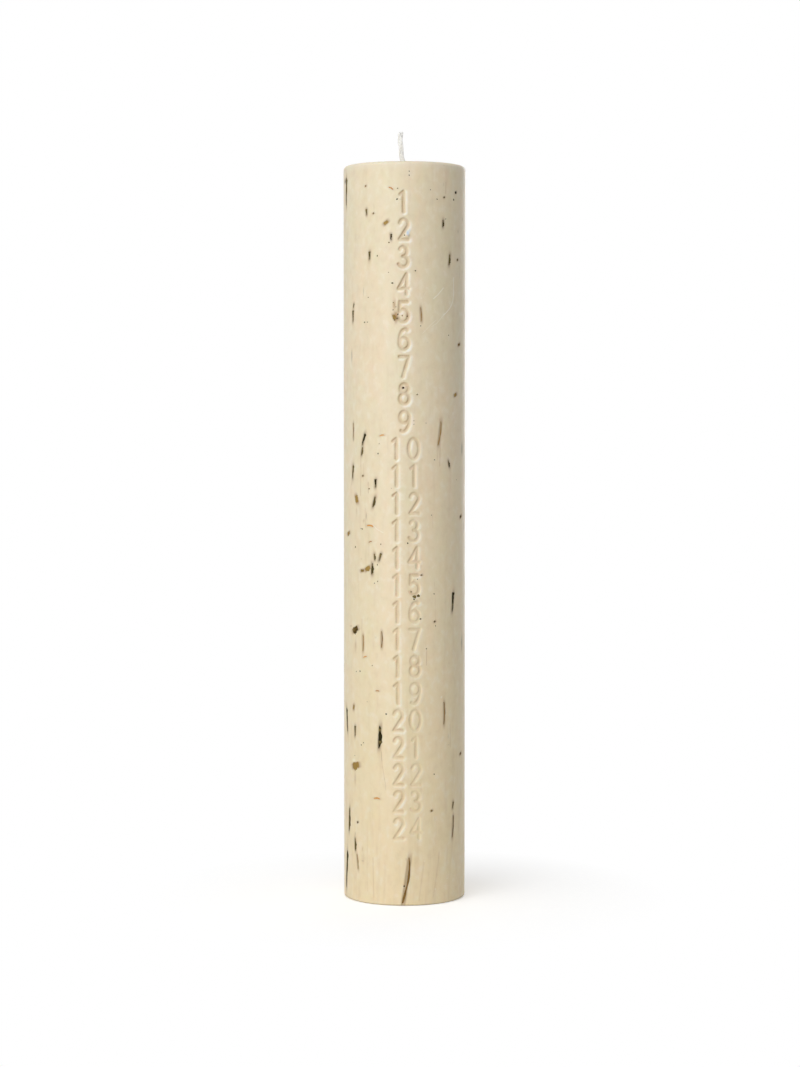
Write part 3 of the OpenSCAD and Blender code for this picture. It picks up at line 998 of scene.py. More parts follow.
# Stains and a painted glint on the wax, in millimetres: across, height, how wide, how tall, and
# strength
STAINS: dict[Mark, Rows] = {
    Mark.BURIED: (
        (-25.7, 222.5, 1.1, 6, 0.5), (30.6, 184.7, 2.2, 6, 0.6), (31.4, 174, 1.4, 12, 0.2),
        (30.8, 105.5, 2, 8, 0.6), (33, 153, 2.4, 9, 0.35), (26.5, 272.7, 1.2, 1.8, 0.35),
        (31, 278, 1.6, 2, 0.35), (31, 256.5, 1.6, 2.4, 0.25), (17.2, 291, 1, 2, 0.25),
        (17.2, 298.6, 1.3, 0.4, 0.4), (-18, 248.3, 0.5, 4, 0.4), (-16.6, 158, 0.5, 3.6, 0.4),
        (-24.4, 188.8, 0.9, 1.8, 0.6), (-26.6, 112.6, 1.6, 0.5, 0.5),
        (-18.8, 17.2, 1.6, 0.35, 0.45), (1.8, 270.2, 1.2, 1.4, 0.55), (-16, 116, 0.8, 2, 0.2),
        (-12.1, 108.8, 0.9, 0.9, 0.3), (20, 68, 1.2, 2.6, 0.25), (20.1, 64.6, 1.3, 0.5, 0.35),
        (-23.2, 27.8, 0.5, 1.8, 0.4), (12.9, 35, 1.2, 2.5, 0.15), (8.9, 207.8, 0.8, 0.8, 0.15),
        (9.6, 227.6, 0.9, 0.9, 0.25), (-23, 278.2, 1.6, 0.6, 0.15), (-15.2, 276.3, 0.8, 0.8, 0.2),
        (-19.7, 178, 0.6, 1.6, 0.2), (23.2, 176, 1, 1.8, 0.15), (-13.3, 256, 0.4, 3, 0.12),
        (16.8, 276.6, 0.9, 1, 0.5), (-28.6, 37.4, 1.2, 3, 0.3), (-32.8, 293.6, 2.6, 2.4, 0.9),
        (2.1, 205.6, 0.6, 1, 0.15),
    ),
    Mark.TAN: (
        (-23, 105, 1.6, 6, 0.45), (-23.4, 50.5, 1.6, 6, 0.4), (-22.3, 159.5, 1.2, 4, 0.35),
        (22.6, 31, 0.8, 7, 0.3), (-21.8, 16, 0.7, 5, 0.35), (-18.3, 18, 1.4, 8, 0.25),
        (-18.8, 22, 0.9, 2.6, 0.4), (1.9, 290, 1.2, 20, 0.16), (-3.5, 237.8, 2.2, 5.5, 0.85),
        (-4.1, 242.6, 1.6, 5.5, 0.6), (-2.5, 241, 0.9, 8, 0.45), (1.2, 238.6, 1.2, 2.2, 0.45),
        (-12.8, 281.8, 0.4, 3, 0.35), (-18, 155.8, 1.3, 2.2, 0.4), (-16.6, 157.5, 0.9, 5, 0.25),
        (-11.6, 183, 1.8, 2, 0.25), (2.8, 127.4, 1.8, 2, 0.4), (3.1, 122.8, 2.2, 3, 0.25),
        (-9.7, 112.2, 0.4, 5, 0.3), (-18.5, 103.8, 0.7, 9, 0.25), (-17.6, 97.5, 1.2, 3, 0.15),
        (-24.7, 192.5, 1.2, 7, 0.3), (8.9, 106, 0.5, 5, 0.2), (15, 195, 0.8, 4, 0.25),
        (12.6, 132, 0.5, 6, 0.2), (-2.6, 289, 0.9, 0.7, 0.45), (-1.5, 284.6, 2.4, 0.7, 0.3),
        (17.2, 77, 0.8, 9, 0.25), (-19.4, 140.3, 1, 1, 0.35), (-27.4, 25, 0.9, 8, 0.25),
        (6.8, 137.5, 0.6, 4, 0.3), (-5.5, 238.8, 0.8, 8, 0.15), (11.5, 35.5, 0.8, 5, 0.15),
        (-28.2, 35, 1.3, 9, 0.3), (29, 62.5, 0.6, 2, 0.3), (-13.8, 252, 0.6, 5, 0.12),
    ),
    Mark.FROST: (
        (-3.2, 4.2, 2.2, 1.8, 0.45), (8.4, 18, 0.6, 0.8, 0.4), (13.2, 6.2, 0.9, 0.9, 0.5),
        (16.1, 84.3, 0.8, 1, 0.7), (22.8, 199.2, 1, 1.6, 0.45), (-24.4, 57.8, 2.6, 1.4, 0.55),
        (-21, 112.4, 2, 1.2, 0.3), (2.6, 262.2, 0.8, 1, 0.35), (6.8, 245.3, 0.6, 0.7, 0.6),
        (-11.8, 144.3, 1.5, 2, 0.2), (18.8, 96.8, 1, 1.4, 0.25), (16.7, 172.5, 0.4, 0.4, 0.6),
        (-11.6, 13, 2, 12, 0.3), (-7.5, 10, 0.9, 10, 0.25), (12.6, 28, 2, 1.4, 0.2),
        (19.5, 10, 1.4, 0.7, 0.35), (23.5, 6.5, 1.2, 0.6, 0.35), (27, 12, 2.4, 6, 0.15),
    ),
    # A bright bluish glint, a reflection off a small chip painted into the wax colour
    Mark.GLINT: ((1.3, 271.3, 1.3, 2.2, 0.9), (2.1, 272.3, 0.7, 1.4, 0.6)),
}

# Fine lines on the wax, in millimetres: width, strength and the points that they follow
LINES: dict[Mark, tuple[tuple[float, float, Path], ...]] = {
    Mark.FROST: (
        (0.34, 0.95, [(22.8, 254), (23.1, 250), (23, 247), (22.5, 244.6), (21.6, 242.8)]),
        (0.34, 0.9, [(21.6, 242.8), (20.2, 241.2), (18.6, 239.8), (17, 238.7)]),
        (0.26, 0.6, [(17, 238.7), (15.2, 236.8), (13.8, 235.4), (11.4, 234)]),
        (0.32, 0.8, [(17, 249.6), (15.8, 248.4), (14, 246.6), (12.2, 245.2)]),
        (0.2, 0.5, [(9, 248), (8, 246.6), (7.6, 245.4)]),
        (0.24, 0.55, [(13.4, 236.6), (11, 234.8), (9.2, 233), (7.4, 231.2)]),
        (0.26, 0.75, [(-13.5, 154.4), (-11.6, 152.6), (-8.8, 151.2)]),
        (0.16, 0.25, [(-34, 265.8), (-28, 264.6), (-20, 261.8), (-17.5, 260.6)]),
        (0.18, 0.35, [(16.5, 14), (20, 11.5), (25, 10.2), (29, 10.8)]),
        (0.18, 0.35, [(12, 4.2), (17, 7.4), (21, 6.8), (24, 3.4)]),
        (0.16, 0.3, [(19, 17), (22.5, 13.6), (24.2, 8)]),
        (0.16, 0.3, [(14.8, 3), (15.8, 9), (18.4, 14.6)]),
    ),
    Mark.TAN: (
        (0.7, 0.3, [(-13.4, 19), (-13.3, 11), (-13, 3)]),
        (0.9, 0.24, [(8, 17.5), (7.2, 11), (6, 2)]),
        (0.8, 0.26, [(15, 21), (13.8, 12), (12.2, 3)]),
        (0.5, 0.2, [(-16.2, 24), (-16.4, 14), (-16.1, 5)]),
        (0.5, 0.16, [(2.8, 16), (2.4, 8), (2.6, 3)]),
        (0.45, 0.35, [(-9.7, 63.5), (-9.2, 57), (-8.2, 51.5)]),
        (0.9, 0.16, [(22.8, 27), (21.2, 15), (20.4, 4)]),
        (0.8, 0.35, [(0.7, 19.2), (1.9, 14.4), (0.9, 9), (0.2, 5), (-0.9, 0.7)]),
        (0.36, 0.45, [(-19.8, 184), (-19.5, 176), (-19.9, 166)]),
        (0.3, 0.35, [(-18.2, 179), (-18.3, 172)]),
        (0.4, 0.5, [(-15.7, 171.4), (-15.6, 167)]),
        (0.36, 0.45, [(-25.8, 180), (-25.9, 170)]),
        (0.36, 0.4, [(-17.3, 161), (-17, 153)]),
        (0.4, 0.45, [(15.1, 197), (15.4, 187), (15.2, 178)]),
        (0.3, 0.4, [(14, 186), (14, 180.6)]),
        (0.3, 0.35, [(11.8, 158.6), (11.9, 153)]),
        (0.34, 0.45, [(-19, 116), (-19.2, 108), (-18.9, 100)]),
        (0.24, 0.3, [(12.8, 131), (13.1, 121), (13.3, 112)]),
        (0.3, 0.5, [(5.9, 102), (6, 95)]),
        (0.4, 0.35, [(27.6, 259), (27.7, 254)]),
        (0.32, 0.5, [(18.3, 292), (18.2, 287.4)]),
        (0.36, 0.4, [(21, 73), (21.2, 63.6)]),
        (0.32, 0.5, [(9.3, 104.6), (9.1, 97.6)]),
    ),
    Mark.BURIED: (
        (0.3, 0.35, [(-8.2, 51.5), (-7.8, 49), (-7.8, 47)]),
        (0.4, 0.3, [(-9.6, 62.5), (-9.4, 59)]),
        (0.7, 0.55, [(-0.6, 3.4), (-1.1, 0.3)]),
        # A contact shadow painted along the foot, where the candle meets the floor
        (0.4, 0.5, [(-34, 1), (-20, 0.25), (0, 0.3), (20, 0.2), (34, 1)]),
    ),
}


# The wax body


@dataclass
class WaxPillar:
    """The cast body: its side with the numbers, rim, top, bore, recess and foot."""

    spots: list[Spot]
    numbers: PressedNumbers
    finish: CastWax = CastWax()
    # The skin lies a little under the CAD surface, so crumbs stand out flush with it
    radius: float = 24.94 * MM
    full_radius: float = RADIUS
    height: float = HEIGHT
    rim: float = 1.6 * MM
    foot: float = FOOT
    # The bore that the wick fills, and the seat of the sustainer's disc and neck
    bore: float = 1.15 * MM
    disc_radius: float = 9.5 * MM
    disc_top: float = 0.9 * MM
    neck_radius: float = 1.5 * MM
    neck_top: float = 8.9 * MM
    neck_bend: float = 0.8 * MM
    # The top face sinks to a dish, and the wax climbs a little way up the wick
    dish: float = 0.25 * MM
    dish_radius: float = 22.6 * MM
    climb: float = 0.24 * MM
    climb_reach: float = 0.7 * MM
    top_rings_mm: tuple[float, ...] = (22.6, 21, 18, 14, 10, 6.5, 4.2, 2.9, 2.1, 1.6)
    base_rings_mm: tuple[float, ...] = (15, 22)
    # Half the width of a pressed stroke, at its floor and where it opens
    half_floor: float = 0.22 * MM
    half_opening: float = 0.98 * MM
    # Wax pushed aside by the punch: how high it stands, how far out, how broad it is, and
    # how many times as broad the highlight painted on it is
    lip: float = 0.05 * MM
    lip_reach: float = 1.3 * MM
    lip_spread: float = 0.35 * MM
    highlight_spread: float = 1.7
    # Where the painted shade lies on a stroke's wall, and how far from a stroke and from the
    # front the lips and the painted light are worked out
    wall_reach: float = 0.5 * MM
    stroke_reach: float = 3 * MM
    stroke_across: float = 10 * MM
    # Shares of a crumb's width and length that its stain covers whole, to each side of its
    # middle, and the length at which the stain runs on twice as far along it as across
    halo_across: float = 0.25
    halo_along: float = 0.38
    halo_run: float = 2 * MM
    # Cells round the side at their coarsest, and how often one may be halved
    around: int = 92
    halvings: int = 3
    # Spacing of the places that stand for a line, in millimetres, and for other marks
    line_step_mm: float = 0.3
    mark_step: float = 0.6 * MM
    # Marks narrower than these, in millimetres, count as thin, and as small
    thin: float = 0.9
    small: float = 1.8
    # How many mm round strokes, thin, small and broad marks each halving reaches
    reaches: Rows = ((0.8, 0.85, 0.55), (0.5, 0.3, 0.1), (0.3, 0.2), (0.3,))

    def __post_init__(self) -> None:
        """Works out the lengths along the side's profile."""
        self.foot_run = math.pi / 2 * self.foot
        self.rim_run = math.pi / 2 * self.rim
        self.wall_run = self.height - self.foot - self.rim
        self.run = self.foot_run + self.wall_run + self.rim_run
        self.turn = 2 * math.pi * self.full_radius
        self.cell = self.turn / self.around
        self.rows = round(self.run / self.cell)
        self.fine = 2**self.halvings
        self.columns = self.around * self.fine
        self.lines = self.rows * self.fine

    def profile(self, run: np.ndarray) -> tuple[np.ndarray, ...]:
        """Follows the side from the foot to the top face.

        Args:
            run: Distances along the profile.

        Returns:
            Radius, height, and the outward direction's share along the radius and upwards.
        """
        low = np.clip(run / self.foot, 0, math.pi / 2)
        past = run - self.foot_run - self.wall_run
        high = np.clip(past / self.rim, 0, math.pi / 2)
        at_foot, at_rim = run < self.foot_run, past > 0
        radius = self.radius - np.where(at_foot, self.foot * (1 - np.sin(low)), 0.0)
        radius -= np.where(at_rim, self.rim * (1 - np.cos(high)), 0.0)
        height = self.foot + run - self.foot_run
        height = np.where(at_foot, self.foot * (1 - np.cos(low)), height)
        height = np.where(at_rim, self.height - self.rim * (1 - np.sin(high)), height)
        out = np.where(at_foot, np.sin(low), np.where(at_rim, np.cos(high), 1.0))
        up = np.where(at_foot, -np.cos(low), np.where(at_rim, np.sin(high), 0.0))
        return radius, height, out, up

    def marks(self) -> list[tuple[KDTree, tuple[float, ...]]]:
        """Lists where the net has to be fine.

        Returns:
            Trees of places on the side, and how many mm round them each halving reaches.
        """
        thin, small, broad = [], [], []
        for _, _, path in (line for lines in LINES.values() for line in lines):
            for here, there in zip(path, path[1:]):
                steps = math.ceil(math.dist(here, there) / self.line_step_mm)
                for t in np.linspace(0, 1, steps + 1):
                    thin.append(tuple((a + (b - a) * t) * MM for a, b in zip(here, there)))
        boxes = [(s.across, s.height, s.width, s.length, s.lean, small) for s in self.spots]
        for x, z, wide, tall, _ in (stain for stains in STAINS.values() for stain in stains):
            least = min(wide, tall)
            group = thin if least < self.thin else small if least < self.small else broad
            boxes.append((x * MM, z * MM, wide * MM, tall * MM, 0.0, group))
        step = self.mark_step
        for across, height, wide, tall, lean, group in boxes:
            cos, sin = math.cos(lean), math.sin(lean)
            for x in np.arange(-wide / 2, wide / 2 + step, step):
                for z in np.arange(-tall / 2, tall / 2 + step, step):
                    u, v = across + x * cos - z * sin, height + x * sin + z * cos
                    group += [(u + shift, v) for shift in (-self.turn, 0.0, self.turn)]
        groups = (self.numbers.points, thin, small, broad)
        return [(tree_of(places), reach) for places, reach in zip(groups, self.reaches)]

    def cells(self) -> list[tuple[int, int, int]]:
        """Halves the cells of the net wherever something lies in or is pressed into it.

        Returns:
            First column, first line and size of each cell, in the finest cells' count.
        """
        marks = self.marks()
        unit, rise = self.cell / self.fine, self.run / self.lines
        size = self.fine
        open_cells = [(i * size, j * size) for j in range(self.rows) for i in range(self.around)]
        done = []
        for level in range(self.halvings):
            half = size * unit * math.sqrt(0.5)
            kept = []
            for i, j in open_cells:
                run, across = (j + size / 2) * rise, (i + size / 2) * unit
                across -= self.turn * (across > self.turn / 2)
                edge = j * rise < self.foot_run or (j + size) * rise > self.run - self.rim_run
                middle = (across, run + self.foot - self.foot_run, 0)
                wanted = edge and level < 2
                for tree, reaches in marks:
                    if level < len(reaches):
                        wanted |= tree.find(middle)[2] < reaches[level] * MM + half
                if wanted:
                    kept.append((i, j))
                else:
                    done.append((i, j, size))
            size //= 2
            open_cells = [
                (i + a * size, j + b * size) for i, j in kept for a in (0, 1) for b in (0, 1)
            ]
        return done + [(i, j, size) for i, j in open_cells]

    def inner_profile(self) -> list[tuple[float, float, bool]]:
        """Lists the rings that close the body, from the top face round to the foot.

        Returns:
            Radius, height, and whether the ring is a sharp edge.
        """
        rings = []
        for x in (reach * MM for reach in self.top_rings_mm):
            bowl = self.dish * (1 - (x / self.dish_radius) ** 2)
            climb = self.climb * math.exp(-(x - self.bore) / self.climb_reach)
            rings.append((x, self.height - bowl + climb * bowl / self.dish, False))
        rings += [
            (self.bore, self.height - 0.01 * MM, True),
            (self.bore, self.height - 6 * MM, False),
            (self.bore, self.neck_top, True),
            (self.neck_radius, self.neck_top, True),
        ]
        for angle in np.radians((0, 30, 60, 90)):
            out = self.neck_radius + self.neck_bend * (1 - math.cos(angle))
            up = self.disc_top + self.neck_bend * (1 - math.sin(angle))
            rings.append((out, up, False))
        rings += [(self.disc_radius, self.disc_top, True), (self.disc_radius, 0.0, True)]
        return rings + [(reach * MM, 0.0, False) for reach in self.base_rings_mm]

    def side_net(self) -> tuple[np.ndarray, np.ndarray, list[tuple[int, ...]]]:
        """Joins the cells of the side, whose sizes differ, into one net without gaps.

        Returns:
            Number of the point on each column and line, or -1 where there is none, then
            the column and line of each point, and the faces.
        """
        cells = self.cells()
        number = np.full((self.columns, self.lines + 1), -1)
        for i, j, size in cells:
            for a in (i, (i + size) % self.columns):
                number[a, j] = number[a, j + size] = 0
        places = np.argwhere(number == 0).tolist()
        number[number == 0] = np.arange(len(places))
        faces: list[tuple[int, ...]] = []
        for i, j, size in cells:
            steps = range(size)
            edge = [(i + k, j) for k in steps]
            edge += [((i + size) % self.columns, j + k) for k in steps]
            edge += [((i + size - k) % self.columns, j + size) for k in steps]
            edge += [(i, j + size - k) for k in steps]
            ring = [int(number[place]) for place in edge if number[place] >= 0]
            if len(ring) == 4:
                faces.append(tuple(ring))
            else:
                # A cell with finer neighbours is cut into a fan round its middle
                faces += [(len(places), a, b) for a, b in zip(ring, ring[1:] + ring[:1])]
                places.append([i + size / 2, j + size / 2])
        return number, np.array(places, float), faces

    def net(self) -> tuple[np.ndarray, np.ndarray, list[tuple[int, ...]], int, set]:
        """Closes the side with the rings of the top, bore and base.

        Returns:
            Points, outward directions, faces, how many faces are the side's, and the
            sharp edges.
        """
        number, places, faces = self.side_net()
        side_faces = len(faces)
        angle = places[:, 0] * 2 * math.pi / self.columns
        radius, height, out, up = self.profile(places[:, 1] * self.run / self.lines)
        points, outward = [wrap(radius, angle, height)], wrap(out, angle, up)
        turns = np.arange(self.around) * 2 * math.pi / self.around
        rows, sharp = [], set()
        for reach, level, crisp in self.inner_profile():
            first = len(outward) + len(rows) * self.around
            row = list(range(first, first + self.around))
            rows.append(row)
            points.append(wrap(reach, turns, level))
            if crisp:
                sharp |= {frozenset(pair) for pair in zip(row, row[1:] + row[:1])}
        faces += ring_faces(len(rows), self.around, len(outward))
        for line, row, rising in ((self.lines, rows[0], True), (0, rows[-1], False)):
            for k in range(self.around):
                span = np.arange(k * self.fine, (k + 1) * self.fine + 1) % self.columns
                edge = [int(n) for n in number[span, line] if n >= 0]
                ends = row[k], row[(k + 1) % self.around]
                half = len(edge) // 2
                fan = [(edge[m], edge[m + 1], ends[m >= half]) for m in range(len(edge) - 1)]
                fan.append((edge[half], ends[1], ends[0]))
                faces += fan if rising else [face[::-1] for face in fan]
        outward = np.vstack((outward, np.zeros((len(rows) * self.around, 3))))
        return np.vstack(points), outward, faces, side_faces, sharp

    def near_strokes(self, flat: np.ndarray) -> tuple[np.ndarray, ...]:
        """Works out the lips round the strokes, and the highlight and shade painted beside them.

        Args:
            flat: Place across and height of each point.

        Returns:
            Share of the lip's height at each point, then the share of painted highlight, which is
            to the right of and below a stroke, and of painted shade, which is above and to the
            left.
        """
        tree = tree_of(self.numbers.points)
        crest, painted_lit, painted_shaded = np.zeros((3, len(flat)))
        for n in np.flatnonzero(np.abs(flat[:, 0]) < self.stroke_across):
            (x, z, _), k, gap = tree.find((flat[n, 0], flat[n, 1], 0))
            if gap < self.stroke_reach:
                share = self.numbers.shares[k]
                from_lip = (gap - self.lip_reach) / self.lip_spread
                from_wall = (gap - self.wall_reach) / self.lip_spread
                below = (flat[n, 0] - x - flat[n, 1] + z) / (gap * math.sqrt(2) + 1e-9)
                painted_highlight = from_lip / self.highlight_spread
                crest[n] = share * math.exp(-(from_lip**2))
                painted_lit[n] = share * max(below, 0.0) * math.exp(-(painted_highlight**2))
                painted_shaded[n] = share * max(-below, 0.0) * math.exp(-(from_wall**2))
        return crest, painted_lit, painted_shaded

    def fields(self, flat: np.ndarray, side: np.ndarray) -> dict[Mark, np.ndarray]:
        """Works out how strongly each point of the skin is stained or painted with light or shade.

        Args:
            flat: Place across and height of each point.
            side: Whether each point is on the side.

        Returns:
            One value from 0 to 1 a point for each kind of mark.
        """
        across, height = flat.T
        values = {mark: np.zeros(len(flat)) for mark in Mark}
        for spot in self.spots:
            wrapped = (across - spot.across + self.turn / 2) % self.turn - self.turn / 2
            x, z = spot.local(wrapped + spot.across, height)
            # Stains run on along a crumb, the way that the wax flowed past it
            aside = np.maximum(np.abs(x) - self.halo_across * spot.width, 0)
            along = np.maximum(np.abs(z) - self.halo_along * spot.length, 0)
            gap = np.hypot(aside, along / (1 + spot.length / self.halo_run))
            for mark, strength, reach in HALOS[spot.form]:
                halo = strength * np.exp(-((gap / (reach * MM)) ** 2))
                values[mark] = np.maximum(values[mark], halo)
        # Stains and lines have uneven edges, because the wax ran and set round them
        uneven = 1 + 0.25 * np.sin(2.1 * height / MM) * np.sin(3.3 * across / MM)
        for mark in Mark:
            for x, z, wide, tall, strength in STAINS[mark]:
                square = ((across / MM - x) * 2 / wide) ** 2 + ((height / MM - z) * 2 / tall) ** 2
                values[mark] = np.maximum(values[mark], strength * np.exp(-square * uneven))
            for wide, strength, path in LINES.get(mark, ()):
                for here, there in zip(path, path[1:]):
                    start, step = np.array(here) * MM, np.subtract(there, here) * MM
                    share = np.clip((flat - start) @ step / (step @ step), 0, 1)
                    gap = np.linalg.norm(flat - start - share[:, None] * step, axis=1)
                    line = strength * np.exp(-((gap / (wide * MM / 2)) ** 2) * uneven)
                    values[mark] = np.maximum(values[mark], line)
        return {mark: value * side for mark, value in values.items()}

    def press_tree(self) -> Shaping:
        """Builds the tree that presses the numbers into the skin.

        Returns:
            The tree.
        """
        sizes = {"Half floor": "Float", "Half opening": "Float", "Depth": "Float"}
        shaping = Shaping("press_numbers", {"Lines": "Object", **sizes})
        add, given = shaping.add, shaping.given
        lines = add("GeometryNodeObjectInfo", {"Object": given("Lines")}, "Geometry")
        gap = add("GeometryNodeProximity", {0: lines}, "Distance", target_element="EDGES")
        wall = {0: gap, 1: given("Half floor"), 2: given("Half opening"), 3: 1.0, 4: 0.0}
        slope = add("ShaderNodeMapRange", wall, interpolation_type="SMOOTHSTEP")
        value = "GeometryNodeInputNamedAttribute"
        nearest = add("GeometryNodeSampleNearest", {"Geometry": lines})
        share = add(value, {"Name": "share"}, data_type="FLOAT")
        sampled = {"Geometry": lines, "Value": share, "Index": nearest}
        share = add("GeometryNodeSampleIndex", sampled)
        press = add("ShaderNodeMath", {0: slope, 1: share}, operation="MULTIPLY")
        # The share of the depth is kept on the skin, because the material paints shade into the
        # grooves by it too
        kept = {"Geometry": given("Geometry"), "Name": "press", "Value": press}
        stored = add("GeometryNodeStoreNamedAttribute", kept, data_type="FLOAT", domain="POINT")
        place = add("GeometryNodeInputPosition", {})
        flat = {0: place, 1: (-1.0, -1.0, 0.0)}
        inward = add("ShaderNodeVectorMath", flat, operation="MULTIPLY")
        inward = add("ShaderNodeVectorMath", {0: inward}, operation="NORMALIZE")
        press = add(value, {"Name": "press"}, data_type="FLOAT")
        sunk = add("ShaderNodeMath", {0: press, 1: given("Depth")}, operation="MULTIPLY")
        shift = add("ShaderNodeVectorMath", {0: inward, "Scale": sunk}, operation="SCALE")
        shaping.finish(add("GeometryNodeSetPosition", {"Geometry": stored, "Offset": shift}))
        return shaping

    def build(self) -> bpy.types.Object:
        """Makes the skin, presses the numbers into it and dresses it.

        Returns:
            The finished body.
        """
        points, outward, faces, side_faces, sharp = self.net()
        mesh = mesh_from("wax_skin", points, faces)
        edges = mesh.attributes.new("sharp_edge", "BOOLEAN", "EDGE")
        crisp = [frozenset(edge.vertices) in sharp for edge in mesh.edges]
        edges.data.foreach_set("value", crisp)
        before = read_rows(mesh.vertex_normals, "vector")
        across = np.arctan2(points[:, 0], -points[:, 1]) * self.full_radius
        flat = np.column_stack((across, points[:, 2]))
        side = np.hypot(points[:, 0], points[:, 1]) > self.radius - 2 * self.rim
        values = self.fields(flat, side)
        crest, painted_lit, painted_shaded = self.near_strokes(flat)
        # The highlight painted below and right of the strokes joins the pale frost marks, and the
        # shade painted above and left of them joins the tan marks
        values[Mark.FROST] = np.maximum(values[Mark.FROST], self.finish.painted_highlight * painted_lit)
        values[Mark.TAN] = np.maximum(values[Mark.TAN], self.finish.painted_shade * painted_shaded)
        for mark, strengths in values.items():
            set_values(mesh, mark.value, strengths)
        points += outward * (self.lip * crest * side)[:, None]
        mesh.vertices.foreach_set("co", points.astype(np.float32).ravel())
        body = self.press_tree().bake(
            "cast_wax_body",
            new_object("wax_skin", mesh),
            {
                "Lines": self.numbers.lines(self.radius),
                "Half floor": self.half_floor,
                "Half opening": self.half_opening,
                "Depth": self.numbers.depth,
                "Material": self.finish.make(),
            },
        )
        self.smooth_side(body.data, before, outward, side_faces)
        return body

    def smooth_side(
        self, mesh: bpy.types.Mesh, before: np.ndarray, outward: np.ndarray, side_faces: int
    ) -> None:
        """Gives the side the normals of a true round wall with its pressed strokes.

        Args:
            mesh: Mesh of the pressed body.
            before: Its smooth normals before the numbers were pressed.
            outward: True outward directions of the plain wall.
            side_faces: How many of its faces are the side's.
        """
        turned = outward + read_rows(mesh.vertex_normals, "vector") - before
        turned /= np.maximum(np.linalg.norm(turned, axis=1), 1e-9)[:, None]
        corners = np.empty(len(mesh.loops), np.int32)
        mesh.loops.foreach_get("vertex_index", corners)
        starts = np.empty(len(mesh.polygons), np.int32)
        mesh.polygons.foreach_get("loop_start", starts)
        normals = turned[corners]
        normals[starts[side_faces] :] = 0.0
        mesh.normals_split_custom_set(normals.tolist())


# The wick


